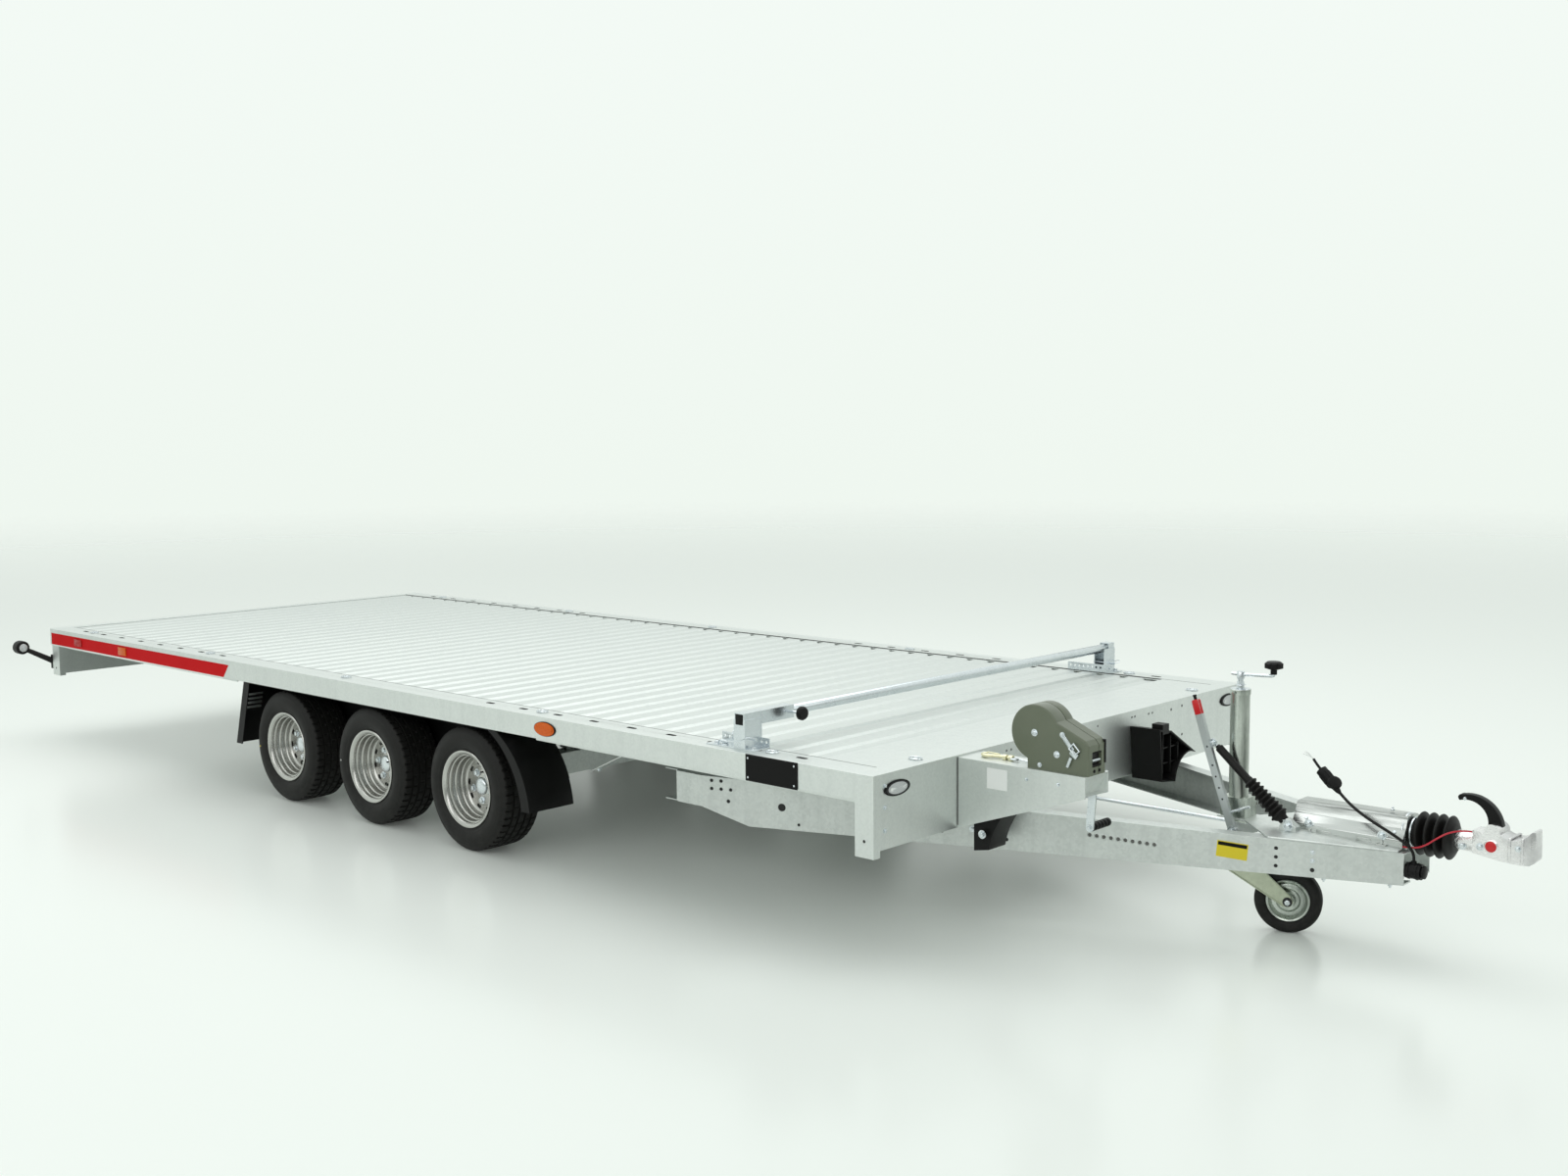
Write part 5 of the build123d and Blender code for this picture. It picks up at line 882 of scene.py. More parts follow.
# distance along the beam and height in metres, radius in millimetres: three holes above each
# other, one for a cable, and those for the chassis bolts
through_holes = [(0.336, 0.267 + k * 0.027, 5.5) for k in range(3)] + [(beam_length - 0.2739, 0.31638, 13)]
through_holes += [(beam_length - 0.033 * k, 0.39, 6) for k in (1, 2)]
through_holes += [(beam_length - 0.033 * k, 0.36195, 6) for k in (1, 2, 3)]
for sign in both_sides:
    for back, z, radius in (
        (2.013, 0.322, 6.5), (1.773, 0.262, 5), (0.238, 0.264, 6.5), (1.108, 0.275, 6), (1.308, 0.285, 6),
    ):
        hole(fixings, *beam_face(back, z, sign), radius)
    # raised burrs round the row of holes in each web
    for k in range(10):
        for inside in (False, True):
            place, look = beam_face(row_start + 0.0208 * k, row_z + 0.0015 * k, sign, inside)
            turned(fixings, [(5.6, 0), (6.4, 1.6), (8.0, 1.6), (9.2, 0)], place, look, 14, closed=True)
            # a dimmer disc of painted shade in each hole of the row
            shade(place, look, 5.5, material=3)
    for back, z, radius in through_holes:
        for inside in (False, True):
            shade(*beam_face(back, z, sign, inside), radius)
    for back, z, radius in ((0.238, 0.318, 4.5), (0.238, 0.292, 4.5), (1.193, 0.360, 7), (1.213, 0.300, 7)):
        bolt(fixings, *beam_face(back, z, sign), radius, 4, material=2, roll=0.4)
# small holes of the front panel: distance from the middle, height and radius in millimetres
for y, z, radius in (
    (88, 549, 4), (126, 495, 4), (312, 549, 4), (332, 549, 4), (426, 546, 4), (452, 546, 4), (585, 540, 5),
    (663, 544, 5), (666, 437, 5), (667, 396, 5),
):
    for sign in both_sides:
        if sign > 0 or y < 500:
            hole(fixings, (front, sign * y * mm, z * mm), forward, radius)
for sign in both_sides:
    for x in (front - 0.036, rear + 0.052):
        hole(fixings, (x, sign * half_width, deck - 0.200), (0, sign, 0), 5)
    for z in (deck - 0.037, deck - 0.102, deck - 0.172):
        bolt(fixings, (front, sign * (half_width - 0.052), z), forward, 5, 3.5, material=2)
shape(fixings, "holes_rings_and_bolts", "galvanised", galvanised_section, black_and_painted_shade, bright_zinc, dim_painted_shade)

# blank warning field on the right-hand beam: black over yellow
sticker = bmesh.new()
place, look = beam_face(0.4555, 0.303, -1)
tangent = (cos(slant), sin(slant), 0)
on_web = Matrix.Translation(place) @ Matrix((tangent, upward, look)).transposed().to_4x4()
for reach, z_from, z_to, depth, tone in ((46, -25, 25, 0.5, 0), (43, 11, 22, 0.9, 1)):
    block(sticker, Vector((-reach, z_from, 0)) * mm, Vector((reach, z_to, depth)) * mm, material=tone,
          place=on_web @ Matrix.Rotation(radians(-5), 4, "Z"))
shape(sticker, "blank_beam_sticker", "galvanised", yellow_vinyl, black_vinyl)

# ---- Overrun brake housing ------------------------------------------------------------
# Two pressed half shells of bright zinc-plated steel with rounded shoulders and pressed
# pads on each flank, bolted down to the base plate; its open end carries a clamped ring.


def lofted(bm, stations, count=20, material=0):
    # rounded sections one behind another, joined up and closed at both ends; a station is
    # (centre, direction, half width, half height, squareness)
    known = set(bm.faces)
    loops = []
    for centre, direction, wide, tall, square in stations:
        made = bmesh.ops.create_circle(bm, segments=count, radius=1)["verts"]
        for vert in made:
            vert.co *= (1 / max(abs(vert.co.x), abs(vert.co.y))) ** square
        along = Vector(direction).normalized()
        side = Vector((0, 1, 0))
        turn = Matrix((side, along.cross(side).normalized(), along)).transposed().to_4x4()
        place = Matrix.Translation(centre) @ turn @ Matrix.Diagonal((wide * mm, tall * mm, 1, 1))
        bmesh.ops.transform(bm, matrix=place, verts=made)
        loops.append(list({edge for vert in made for edge in vert.link_edges}))
    for first, second in zip(loops, loops[1:]):
        bmesh.ops.bridge_loops(bm, edges=first + second)
    for loop in (loops[0], loops[-1]):
        bmesh.ops.contextual_create(bm, geom=loop)
    tint(bm, known, material)


def bent_rod(bm, points, radius, material=0, smooth=True, origin=None, side=1):
    # a round rod or wire bent along a line of points; with an origin, they are millimetres from
    # it, towards +y or towards the given side
    if origin is not None:
        points = [Vector(origin) + Vector((x, side * y, z)) * mm for x, y, z in points]
    rod = bpy.data.objects.new("rod", round_line("rod", points, radius * mm, 3, smooth))
    mesh = bpy.data.meshes.new_from_object(rod)
    known = set(bm.faces)
    bm.from_mesh(mesh)
    tint(bm, known, material)
    bpy.data.objects.remove(rod)
    bpy.data.meshes.remove(mesh)


# bright plated steel of the overrun housing, with dark lengthwise streaks painted in as reflections
plated_steel = grained(
    "plated_steel", (0.58, 0.60, 0.585), (0.10, 0.11, 0.10), 46, 0.22, 1.0, (0.25, 1.0, 2.6), metal=1.0
)
dress(plated_steel, 1.2, "overrun_housing")
x0, x1 = low("overrun_housing").x, high("overrun_housing").x
housing_low, housing_top = low("overrun_housing").z, high("overrun_housing").z
flank = high("overrun_housing").y - 5 * mm
housing = bmesh.new()
for sign in both_sides:
    y = sign * flank
    for x in (x0 + share * (x1 - x0) for share in (0.30, 0.66)):
        slab(housing, (x, y, housing_top - 0.0835), (48, 4, 13), 1.5)
    for x in (x0 + share * (x1 - x0) for share in (0.16, 0.82)):
        block(housing, (x - 16 * mm, y - 1 * mm, housing_low),
              (x + 16 * mm, y + sign * 12 * mm, housing_low + 5 * mm), 1)
        bolt(housing, (x, y + sign * mm, housing_low + 0.030), (0, sign, 0), 9, 7, material=1, roll=0.3)
    for x in (x0 + 0.040, x1 - 0.030):
        bolt(housing, (x, sign * 0.058, housing_top - 0.052), (0, sign * 0.7, 0.7), 6, 4, material=1)
# wire clamp round the collar and the grease nipple on the crown
clamp = [(54.2, 0), (56, 1.5), (56, 4.5), (54.2, 6)]
nipple = [(6, 0), (6, 4), (3.5, 6), (3.5, 10), (2, 12), (0, 12)]
turned(housing, clamp, (x1 - 0.014, 0, shaft_height), forward, 44, True, 1)
turned(housing, nipple, (x1 - 0.062, 0, housing_top), upward, 16, material=1)
shape(housing, "housing_trim", "zinc", plated_steel, bright_zinc, sharp=28)

# ---- Bellows --------------------------------------------------------------------------
# Moulded rubber gaiter of four soft folds over the coupling's shaft.
start, stop = low("overrun_bellows").x, high("overrun_bellows").x
gaiter_length = (stop - start) / mm
crest = high("overrun_bellows").y / mm - middle("overrun_bellows").y / mm
folds, steps_per_fold = 4, 12
root, collar = 43, 15
profile = [(0, 0), (root, 0), (root, collar)]
for i in range(folds * steps_per_fold + 1):
    share = i / (folds * steps_per_fold)
    wave = (0.5 - 0.5 * cos(2 * pi * folds * share)) ** 0.7 * (0.92 + 0.08 * sin(pi * share))
    profile.append((root + (crest - root) * wave, collar + share * (gaiter_length - collar - 2)))
profile += [(34, gaiter_length), (0, gaiter_length)]
gaiter_foot = (start, 0, shaft_height)
bellows = bmesh.new()
turned(bellows, profile, gaiter_foot, forward, steps=56)
turned(bellows, [(43.2, 5), (45, 6), (45, 10), (43.2, 11)], gaiter_foot, forward, 48, True, 1)
dressed_bellows = shape(bellows, "rubber_bellows", "black_rubber", black_rubber, bright_zinc, sharp=60)
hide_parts("overrun_bellows")

# ---- Coupling head and its handle ------------------------------------------------------
# Cast head on a tubular neck with a wrapped nose, cross bolts, a round red wear indicator
# and a black curved handle hinged on top.
coupling_paint = grained(
    "coupling_paint", (0.84, 0.83, 0.83), (0.46, 0.46, 0.47), 150, 0.22, 0.9, metal=1.0, bump=0.7,
    bump_depth=0.0014,
)
red_plastic = grained("red_plastic", (0.62, 0.008, 0.012), (0.50, 0.015, 0.02), 1200, 0.34, bump=0.08)
dress(coupling_paint, 2.5, "coupling_head")
dress(moulded_black, 3, "coupling_handle")
neck_start, nose_end = low("coupling_head").x, high("coupling_head").x
head_low, boss_top = low("coupling_head").z, high("coupling_head").z
ball_x = nose_end - 46 * mm
boss_x = ball_x - 78 * mm
head = bmesh.new()


def head_side(x):
    # half the head's width at a place along it
    return 30 * mm + 16 * mm * max(0, min(1, (x - neck_start - 54 * mm) / 0.135))


# cast ribs over the nose, and the socket's rolled lip with a dark disc of painted shade inside
for x, rise in ((ball_x - 0.026, 72), (ball_x + 0.010, 76)):
    wide, top = head_side(x), head_low + rise * mm
    for sign in both_sides:
        slab(head, (x, sign * wide, (head_low + 6 * mm + top) / 2), (8, 4, rise - 6), 1.5)
    slab(head, (x, 0, top - 1.5 * mm), (8, 2 * wide / mm, 5), 1.5)
turned(head, [(25.3, 0), (30, 0), (32, 3), (31, 7), (25.3, 7)], (ball_x, 0, head_low), upward, 36, True)
turned(head, [(25, 0.2), (24, 1.2), (0, 1.2)], (ball_x, 0, head_low + 1 * mm), (0, 0, -1), 32, material=2)
for sign in both_sides:
    # round seat with the red wear indicator, cross bolts of the neck, pivot and side bolts
    seat = Vector((boss_x, sign * (head_side(boss_x) + 0.5 * mm), shaft_height + 3 * mm))
    turned(head, [(20, -4), (20, 3), (18, 4.5), (0, 4.8)], seat, (0, sign, 0), 28)
    turned(head, [(16, 0), (16, 6.2), (14.5, 7.4), (0, 7.8)], seat, (0, sign, 0), 28, material=1)
    for x, rise, size, reach in (
        (neck_start + 0.026, -10, 8, 28 * mm), (neck_start + 0.078, -4, 8, 0), (ball_x - 0.002, 10, 6, 0),
    ):
        spot = (x, sign * (reach or head_side(x)), shaft_height + rise * mm)
        bolt(head, spot, (0, sign, 0), size, 7, material=3, roll=0.5)
pivot = (boss_x, 35 * mm, boss_top - 24 * mm)
turned(head, [(9, 0), (9, 68), (7, 70), (0, 70)], pivot, rightward, 20, material=3)
head_finishes = coupling_paint, red_plastic, black_and_painted_shade, bright_zinc
shape(head, "coupling_head_trim", "coupling_silver", *head_finishes, sharp=45)
# rivets of the handle
catch = bmesh.new()
rivet_x, rivet_z = low("coupling_handle").x + 0.020, high("coupling_handle").z - 0.014
for sign in both_sides:
    spot = (rivet_x, sign * 13 * mm, rivet_z)
    turned(catch, [(5, 0), (5, 1.5), (3, 2.2), (0, 2.2)], spot, (0, sign, 0), 16)
shape(catch, "coupling_handle_rivets", "coupling_silver", bright_zinc)

# ---- Jockey wheel ---------------------------------------------------------------------
# Steel tube in a clamp, bent spindle crank, a pressed fork of yellow-green zinc and a solid
# rubber tyre on a pressed zinc rim.
tyre_middle = middle("jockey_tyre")
castor = radians(21.7)
wheel_axis = Vector((sin(castor), -cos(castor), 0))
castor_line = Vector((cos(castor), sin(castor), 0))
# zinc tube, leg and jockey rim, with dark upright streaks painted in as reflections
tube_painted_streaks = grained(
    "tube_painted_streaks", (0.56, 0.60, 0.55), (0.16, 0.18, 0.16), 300, 0.24, 1.0, (3.5, 3.5, 0.5), metal=1.0,
    bump=0.06,
)
dress(tube_painted_streaks, 1, "jockey_tube", "jockey_leg")


def mirrored_ring(half):
    # a ring's profile from one half of it
    return half + [(radius, -along) for radius, along in reversed(half)]


wheel_body = "jockey_wheel"
solid = bmesh.new()
tread = [
    (67, -21), (69, -24), (76, -26.5), (88, -27), (96, -25), (101, -20), (103, -12), (103, -6), (102, -5),
]
turned(solid, mirrored_ring(tread), tyre_middle, wheel_axis, 88, True)
dressed_solid = shape(solid, "solid_jockey_tyre", "tyre", tyre_rubber, body=wheel_body, sharp=40)
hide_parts("jockey_tyre")
pressed_rim = bmesh.new()
pressed = [
    (66.7, 22), (64, 23.5), (60, 22), (57, 14), (52, 10), (46, 12.5), (38, 12.5), (33, 8), (24, 8),
    (20.5, 12), (20, 26.5), (6.5, 26.5),
]
turned(pressed_rim, mirrored_ring(pressed), tyre_middle, wheel_axis, 64, True)
dressed_rim = shape(pressed_rim, "pressed_jockey_rim", "zinc", tube_painted_streaks, body=wheel_body, sharp=40)
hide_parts("jockey_rim")
fork_trim = bmesh.new()
cheek = 36 * mm


def on_fork(spot, along, up):
    # a spot moved along the castor's line and upwards, in millimetres
    return spot + castor_line * (along * mm) + Vector((0, 0, up * mm))


for sign in both_sides:
    look = wheel_axis * sign
    hub_face = tyre_middle + look * cheek
    crown = hub_face - castor_line * 0.157
    turned(fork_trim, [(15, 0), (15, 1.5), (14, 2), (0, 2)], hub_face, look, 28, material=1)
    bolt(fork_trim, hub_face + look * 1.5 * mm, look, 9, 8, washer=False, roll=0.2)
    # pressed rim along each edge of the cheek, and the bolt of the crown
    for at_crown, at_hub in (((34, 139), (8, 18)), ((-30, 92), (-12, -14))):
        edge = [on_fork(crown, *at_crown), on_fork(hub_face, *at_hub)]
        bent_rod(fork_trim, edge, 2.6, material=2, smooth=False)
    bolt(fork_trim, on_fork(crown, 6, 112), look, 9, 7, roll=0.5)
shape(fork_trim, "jockey_axle_nuts", "zinc", bright_zinc, black_and_painted_shade, grey_zinc, body="jockey_fork")

tube_x, tube_y = middle("jockey_leg").x, middle("jockey_leg").y
tube_end = Vector((tube_x, tube_y, high("jockey_tube").z))
trim = bmesh.new()
collar = [(30.2, -16), (31.6, -15), (31.6, -2), (30, 1), (12, 3), (11, 14), (0, 14)]
turned(trim, collar, tube_end, upward, 40)
bolt(trim, tube_end + Vector((0, 0, 0.012)), upward, 11, 9)
# clamp screw with its cross handle, towards the front
clamp = Vector((tube_x, tube_y, deck - 0.180))
for rise in (-14, 14):
    bolt(trim, clamp + Vector((-22, -39, rise)) * mm, rightward, 6, 5)
bent_rod(trim, [(36, -20, 0), (36, -66, 0)], 6, smooth=False, origin=clamp)
bent_rod(trim, [(6, -62, -12), (36, -64, 0), (70, -62, 14)], 4.5, origin=clamp)
shape(trim, "jockey_tube_trim", "zinc", bright_zinc)

crank_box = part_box("jockey_crank")
crank_tip = (crank_box[1].x, tube_y, crank_box[1].z - 6 * mm)
tube_back = (tube_x - crank_box[1].x) / mm
crank = bmesh.new()
crank_line = [(tube_back - 30, 0, -3), (tube_back, 0, -5), (tube_back + 45, 0, -2)]
crank_line += [(-20, 0, 0), (-6, 0, 1), (-6, 0, 6)]
bent_rod(crank, crank_line, 5.5, origin=crank_tip)
turned(crank, [(0, 0), (9, 0), (9, 30), (12, 32), (12, 52), (10, 55), (0, 55)], tube_end, upward, 24)
dressed_crank = shape(crank, "bent_jockey_crank", "zinc", bright_zinc)
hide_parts("jockey_crank")

# ---- Handbrake lever and spring cylinder ------------------------------------------------
# Zinc-plated channel lever with a red grip cap and release button; the spring cylinder
# beside it wears a ribbed rubber boot and ends in a nutted lug.
lever_y = middle("handbrake_lever").y
foot, kink, tip = [
    Vector((front + x, lever_y, deck + rise))
    for x, rise in ((0.628, -0.247), (0.529, 0.037), (0.493, 0.151))
]
lever_trim = bmesh.new()
up = (tip - kink).normalized()
cap_low, cap_high = tip - up * 0.046, tip + up * 0.001
lofted(lever_trim, [
    (cap_low, up, 8.5, 13.5, 0.6), (cap_low + up * 3 * mm, up, 9, 14, 0.6),
    (cap_high - up * 4 * mm, up, 9, 14, 0.6), (cap_high, up, 7, 11, 0.6),
], material=2)
turned(lever_trim, [(5, 0), (5, 10), (6.5, 12), (6.5, 15), (0, 16)], cap_high, up, 16, material=3)
lever_side = Vector((0, -7 * mm, 0))
# holes along the lever, each a dark disc of painted shade
for share in (0.10, 0.30, 0.42, 0.54, 0.66):
    hole(lever_trim, kink.lerp(foot, share) + lever_side, rightward, 3)
bolt(lever_trim, foot + lever_side, rightward, 10, 6, roll=0.4)
shape(lever_trim, "handbrake_trim", "zinc", bright_zinc, black_and_painted_shade, red_plastic, moulded_black)

upper, lower = [
    Vector((front + x, lever_y + 18 * mm, deck + rise)) for x, rise in ((0.564, 0.008), (0.791, -0.193))
]
axis = (lower - upper).normalized()
reach = (lower - upper).length / mm
boot = bmesh.new()
profile = [(0, -4), (7, -4), (9.5, 2), (13, 4), (13, reach * 0.44), (14.5, reach * 0.455)]
ribs, steps_per_rib = 9, 8
for i in range(ribs * steps_per_rib + 1):
    share = i / (ribs * steps_per_rib)
    ripple = 3.8 * sin(2 * pi * ribs * share - pi / 2)
    profile.append((18 + 7.5 * share + ripple, reach * (0.47 + 0.47 * share)))
profile += [(16, reach * 0.96), (15, reach), (0, reach)]
turned(boot, profile, upper, axis, 40)
# forked eye with its nut on the lever
turned(boot, [(0, -30), (9, -30), (9, -14), (6, -12), (6, 4)], upper, axis, 20, material=1)
bolt(boot, upper + Vector((-14, -8, 12)) * mm, rightward, 8, 6, material=1)
dressed_boot = shape(boot, "ribbed_brake_spring", "black_rubber", black_rubber, bright_zinc, sharp=50)
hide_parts("brake_spring")
lug = bmesh.new()
bolt(lug, lower + Vector((18, -16, -12)) * mm, rightward, 10, 9, roll=0.3)
lofted(lug, [
    (lower + Vector((20, -12, -14)) * mm, upward, 5, 18, 0.4),
    (lower + Vector((12, -12, 8)) * mm, upward, 5, 14, 0.3),
])
shape(lug, "spring_lug_nut", "yellow_zinc", bright_zinc)

# ---- Wheel stop bar --------------------------------------------------------------------
# Zinc-plated square socket on a folded bracket with a round clamping knob; a plain tube
# crosses the deck to the far bracket, and spring pins with safety wires hold both.


def wire_ring(centre, radii, axes, count, tilt=0):
    # the points of a closed ring in the plane of two axes; its points rise by the tilt
    points = []
    for k in range(count + 1):
        turn = k * 2 * pi / count
        spot = Vector(centre)
        spot[axes[0]] += radii[0] * cos(turn)
        spot[axes[1]] += radii[1] * sin(turn)
        spot.z += tilt * sin(turn)
        points.append(tuple(spot))
    return points


stop_x, stop_z = middle("stop_bar").x, middle("stop_bar").z
outer = high("stop_bar").y + 8 * mm
stops = bmesh.new()
# end plug in the near sleeve
slab(stops, (stop_x, -outer + 2.7 * mm, stop_z), (34.4, 6.6, 34.4), 2, material=1)
for sign in both_sides:
    foot = (stop_x, sign * outer, deck)
    for x in (-120, 42):
        bolt(stops, (stop_x + x * mm, sign * (outer - 0.020), deck + 4 * mm), upward, 8, 6, roll=0.2)
    # spring pin through the upright, with its looped safety wire
    bent_rod(stops, [(-40, -30, 34), (44, -30, 34)], 4.5, smooth=False, origin=foot, side=sign)
    loop = wire_ring((-44, -30, 38), (-19, 19), (2, 1), 10)
    bent_rod(stops, loop, 1.4, origin=foot, side=sign)
    wire = [(42, -30, 34), (62, -12, 40), (40, 4, 46), (-4, 6, 26), (-60, -4, 18), (-100, -20, 12)]
    bent_rod(stops, wire, 1.4, origin=foot, side=sign)
    shackle = wire_ring((-94, -24, 12), (16, 11), (0, 1), 10, tilt=6)
    bent_rod(stops, shackle, 2.6, origin=foot, side=sign)
shape(stops, "stop_bar_fittings", "zinc", bright_zinc, moulded_black)
knob_foot = (low("stop_knob").x, middle("stop_knob").y, stop_z)
knob = bmesh.new()
turned(knob, [(0, 0), (5, 0), (5, 44)], knob_foot, forward, 20, material=1)
turned(knob, [(0, 42), (17, 42), (22, 46), (23, 56), (19, 63), (0, 64)], knob_foot, forward)
dressed_knob = shape(knob, "round_stop_knob", "black_plastic", moulded_black, bright_zinc, sharp=50)
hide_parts("stop_knob")

# ---- Winch bracket ---------------------------------------------------------------------
# Folded sheet box on the front panel with its bolts, a blank paper label, and a curved tie
# plate in its front end.
box_side, box_far = low("winch_box").y, high("winch_box").y
box_top, box_front = high("winch_box").z, high("winch_box").x
bracket = bmesh.new()
block(bracket, (front + 0.112, box_side - 0.4 * mm, box_top - 0.081),
      (front + 0.187, box_side, box_top - 0.017), material=1)
for y in (box_side + 3 * mm, box_far - 3 * mm):
    # seams where the bracket meets the front panel
    block(bracket, (front, y - 4 * mm, deck - 0.220), (front + 3 * mm, y + 4 * mm, box_top), 1, material=3)
for y in (box_side + 0.022, box_far - 0.022):
    for z in (box_top - 0.046, box_top - 0.136):
        bolt(bracket, (front, y, z), forward, 7, 5, material=2)
# tie plate, hollow towards the front
tie = []
for share in (k / 8 for k in range(9)):
    tie.append((box_front - 0.006 - 0.028 * sin(pi * share / 2) ** 2, box_top - 0.004 - 0.058 * share))
folded(bracket, tie, box_side + 4 * mm, box_far - box_side - 8 * mm, -2.5 * mm)
for x in (0.257, 0.369):
    bolt(bracket, (front + x, box_side, box_top - 0.034), rightward, 4, 3, material=2, roll=0.3)
shape(bracket, "winch_bracket_trim", "galvanised", galvanised_sheet, white_vinyl, bright_zinc, sealant_and_slot_shade)

# ---- Winch -----------------------------------------------------------------------------
# Hand winch in a two-part olive cover with a pawl lever, a rope slot in its nose and a
# folding crank; its hook is parked on the bracket.
olive_paint = grained(
    "olive_paint", (0.120, 0.140, 0.092), (0.165, 0.185, 0.130), 700, 0.36, 0.35, bump=0.12,
    Coat_Weight=0.25,
)
dress(olive_paint, 1.2, "winch_body")
cover, lip_y = low("winch_body").y, high("winch_body").y
nose = high("winch_body").x
# where the cover's near face meets the bracket's root; places on it are in millimetres
cover_root = Vector((front, cover, box_top))
winch = bmesh.new()
for x, z, size in ((277, 109, 7.5), (356, 53, 7.0), (296, 14, 5.0)):
    bolt(winch, cover_root + Vector((x, 0, z)) * mm, rightward, size, 4, roll=(front + x * mm) * 40)
# pawl lever: a flat strap with a bent wire ring and a small pivot
for spot, size, turn, rounding in (
    ((393, -2, 94), (60, 3, 14), 48, 1), ((419, -5, 62), (28, 8, 18), 35, 2.5),
):
    tilt = Matrix.Rotation(radians(turn), 4, "Y")
    slab(winch, (0, 0, 0), size, rounding, place=Matrix.Translation(cover_root + Vector(spot) * mm) @ tilt)
ring = [(403, -8, 78), (425, -8, 62), (439, -8, 74), (419, -8, 94), (403, -8, 78)]
bent_rod(winch, ring, 3.5, smooth=False, origin=cover_root)
bent_rod(winch, [(409, -6, 52), (397, -7, 22)], 5, smooth=False, origin=cover_root)
bolt(winch, cover_root + Vector((375, 0, 114)) * mm, rightward, 6, 4)
# the mouth holds a dark block of painted shade, with a roller and two screws under it
mouth = Vector((nose, cover + 45 * mm, box_top + 47 * mm))
slab(winch, mouth - Vector((0.022, 0, 0)), (24, 49.2, 45.2), 1, material=1)
for z in (-19, 19):
    bent_rod(winch, [(-2, -24, z), (-2, 24, z)], 2, material=2, smooth=False, origin=mouth)
turned(winch, [(0, 0), (5, 0), (5, 42), (0, 42)], mouth + Vector((-6, -21, -4)) * mm, (0, 1, 0), 20)
for y in (-14, 14):
    spot = mouth + Vector((0, y, -35)) * mm
    turned(winch, [(5, 0), (5, 2), (3, 2.5), (0, 2.5)], spot, forward, 16, material=2)
slab(winch, (nose - 9.5 * mm, lip_y - 2 * mm, box_top + 65 * mm), (25, 8, 70), 2, material=2)
shape(winch, "winch_fittings", "zinc", bright_zinc, black_and_painted_shade, moulded_black)

# ---- Hook, rope and crank ---------------------------------------------------------------
# The hook lies on the bracket at the end of the rope; the crank hangs folded at the side.
berth = Vector((front, (box_side + box_far) / 2, box_top + 7 * mm))
hook = bmesh.new()
bend = [(158, 0), (120, 0), (100, -2), (85, -13), (66, -15), (52, -6), (50, 4), (60, 13)]
bent_rod(hook, [(x, y, 0) for x, y in bend], 5.5, origin=berth)
for x in (158, 136):
    turned(hook, [(6, -7), (9.5, -6), (9.5, 6), (6, 7)], berth + Vector((x, 0, 0)) * mm, forward, 20, True)
bent_rod(hook, [(112, 3, 6), (64, 8, 6)], 2.5, smooth=False, origin=berth)
bent_rod(hook, wire_ring((170, 0, 0), (14, 11), (0, 1), 12), 3.5, material=1, origin=berth)
bent_rod(hook, [(184, 0, 0), (205, 4, -2), (230, -2, -3), (251, 0, -3)], 3, material=1, origin=berth)
dressed_hook = shape(hook, "parked_winch_hook", "yellow_zinc", yellow_zinc, bright_zinc, sharp=50)
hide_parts("winch_hook")
arm_low, arm_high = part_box("winch_crank")
joint = bmesh.new()
shaft_end = (arm_high.x - 13 * mm, arm_high.y, arm_high.z - 13 * mm)
turned(joint, [(12, 0), (12, 4), (9, 6), (0, 6)], shaft_end, (0, 1, 0), 24)
bolt(joint, (arm_low.x + 13 * mm, arm_high.y - 6 * mm, arm_low.z + 13 * mm), rightward, 6, 4)
shape(joint, "crank_joints", "zinc", bright_zinc)

# ---- Wheel chocks -----------------------------------------------------------------------
# Moulded plastic chocks: the one on the front panel shows the ribs inside its open face,
# the one under the winch bracket is held by a bolt.
chock_face = front + 0.120
chock_low, chock_high = deck - 0.269, deck - 0.053
chock_in = 0.300
chock = bmesh.new()
rib_back, rib_half = chock_face - 0.066, 2.5 * mm
for y, drop, lift in (
    (chock_in + 0.040, 0.014, 0.052), (chock_in + 0.092, 0.030, 0.050), (chock_in + 0.144, 0.062, 0.086),
):
    block(chock, (rib_back, y - rib_half, chock_low + lift),
          (chock_face - 0.010, y + rib_half, chock_high - drop), 1)
for z in (chock_high - 0.075, chock_high - 0.130):
    block(chock, (rib_back, chock_in + 0.012, z - rib_half),
          (chock_face - 0.016, chock_in + 0.150, z + rib_half), 1)
bolt(chock, (front + 0.078, -0.690, deck - 0.242), rightward, 9, 7, material=1, roll=0.3)
shape(chock, "chock_ribs", "black_plastic", moulded_black, bright_zinc)

# ---- Mudguard fittings ------------------------------------------------------------------
# Folded strap from the front skirt up towards the floor, and louvres on the rear skirt.
guard = bmesh.new()
guard_rear = low("mudguard_right").x
louvre_foot = Vector((guard_rear + 0.014, 0, deck - 0.364))
strap_y, louvre_y = half_width - 0.135, half_width - 0.060
strap_foot, strap_head = Vector((rear + 4.107, 0, deck - 0.195)), Vector((rear + 4.312, 0, deck - 0.101))
strap_reach = strap_head - strap_foot
strap_half = strap_reach.length / 2
strap_angle = Vector((strap_reach.x, strap_reach.z)).angle_signed(Vector((1, 0)))
for sign in both_sides:
    strap_middle = (strap_foot + strap_head) / 2 + Vector((0, sign * strap_y, 0))
    lean = Matrix.Translation(strap_middle) @ Matrix.Rotation(-strap_angle, 4, "Y")
    slab(guard, (0, 0, 0), (2 * strap_half / mm, 44, 4), 1, place=lean)
    for along in (-0.82, 0.82):
        bolt(guard, lean @ Vector((strap_half * along, 0, -2 * mm)), (0.4, 0, -1), 7, 5, material=1)
    for share in (0.62 + 0.075 * step for step in range(4)):
        louvre = louvre_foot + Vector((share * 0.081, sign * louvre_y, share * 0.262))
        slab(guard, louvre, (8, 68, 9), 1.5)
shape(guard, "mudguard_straps_and_louvres", "galvanised", galvanised_section, bright_zinc)

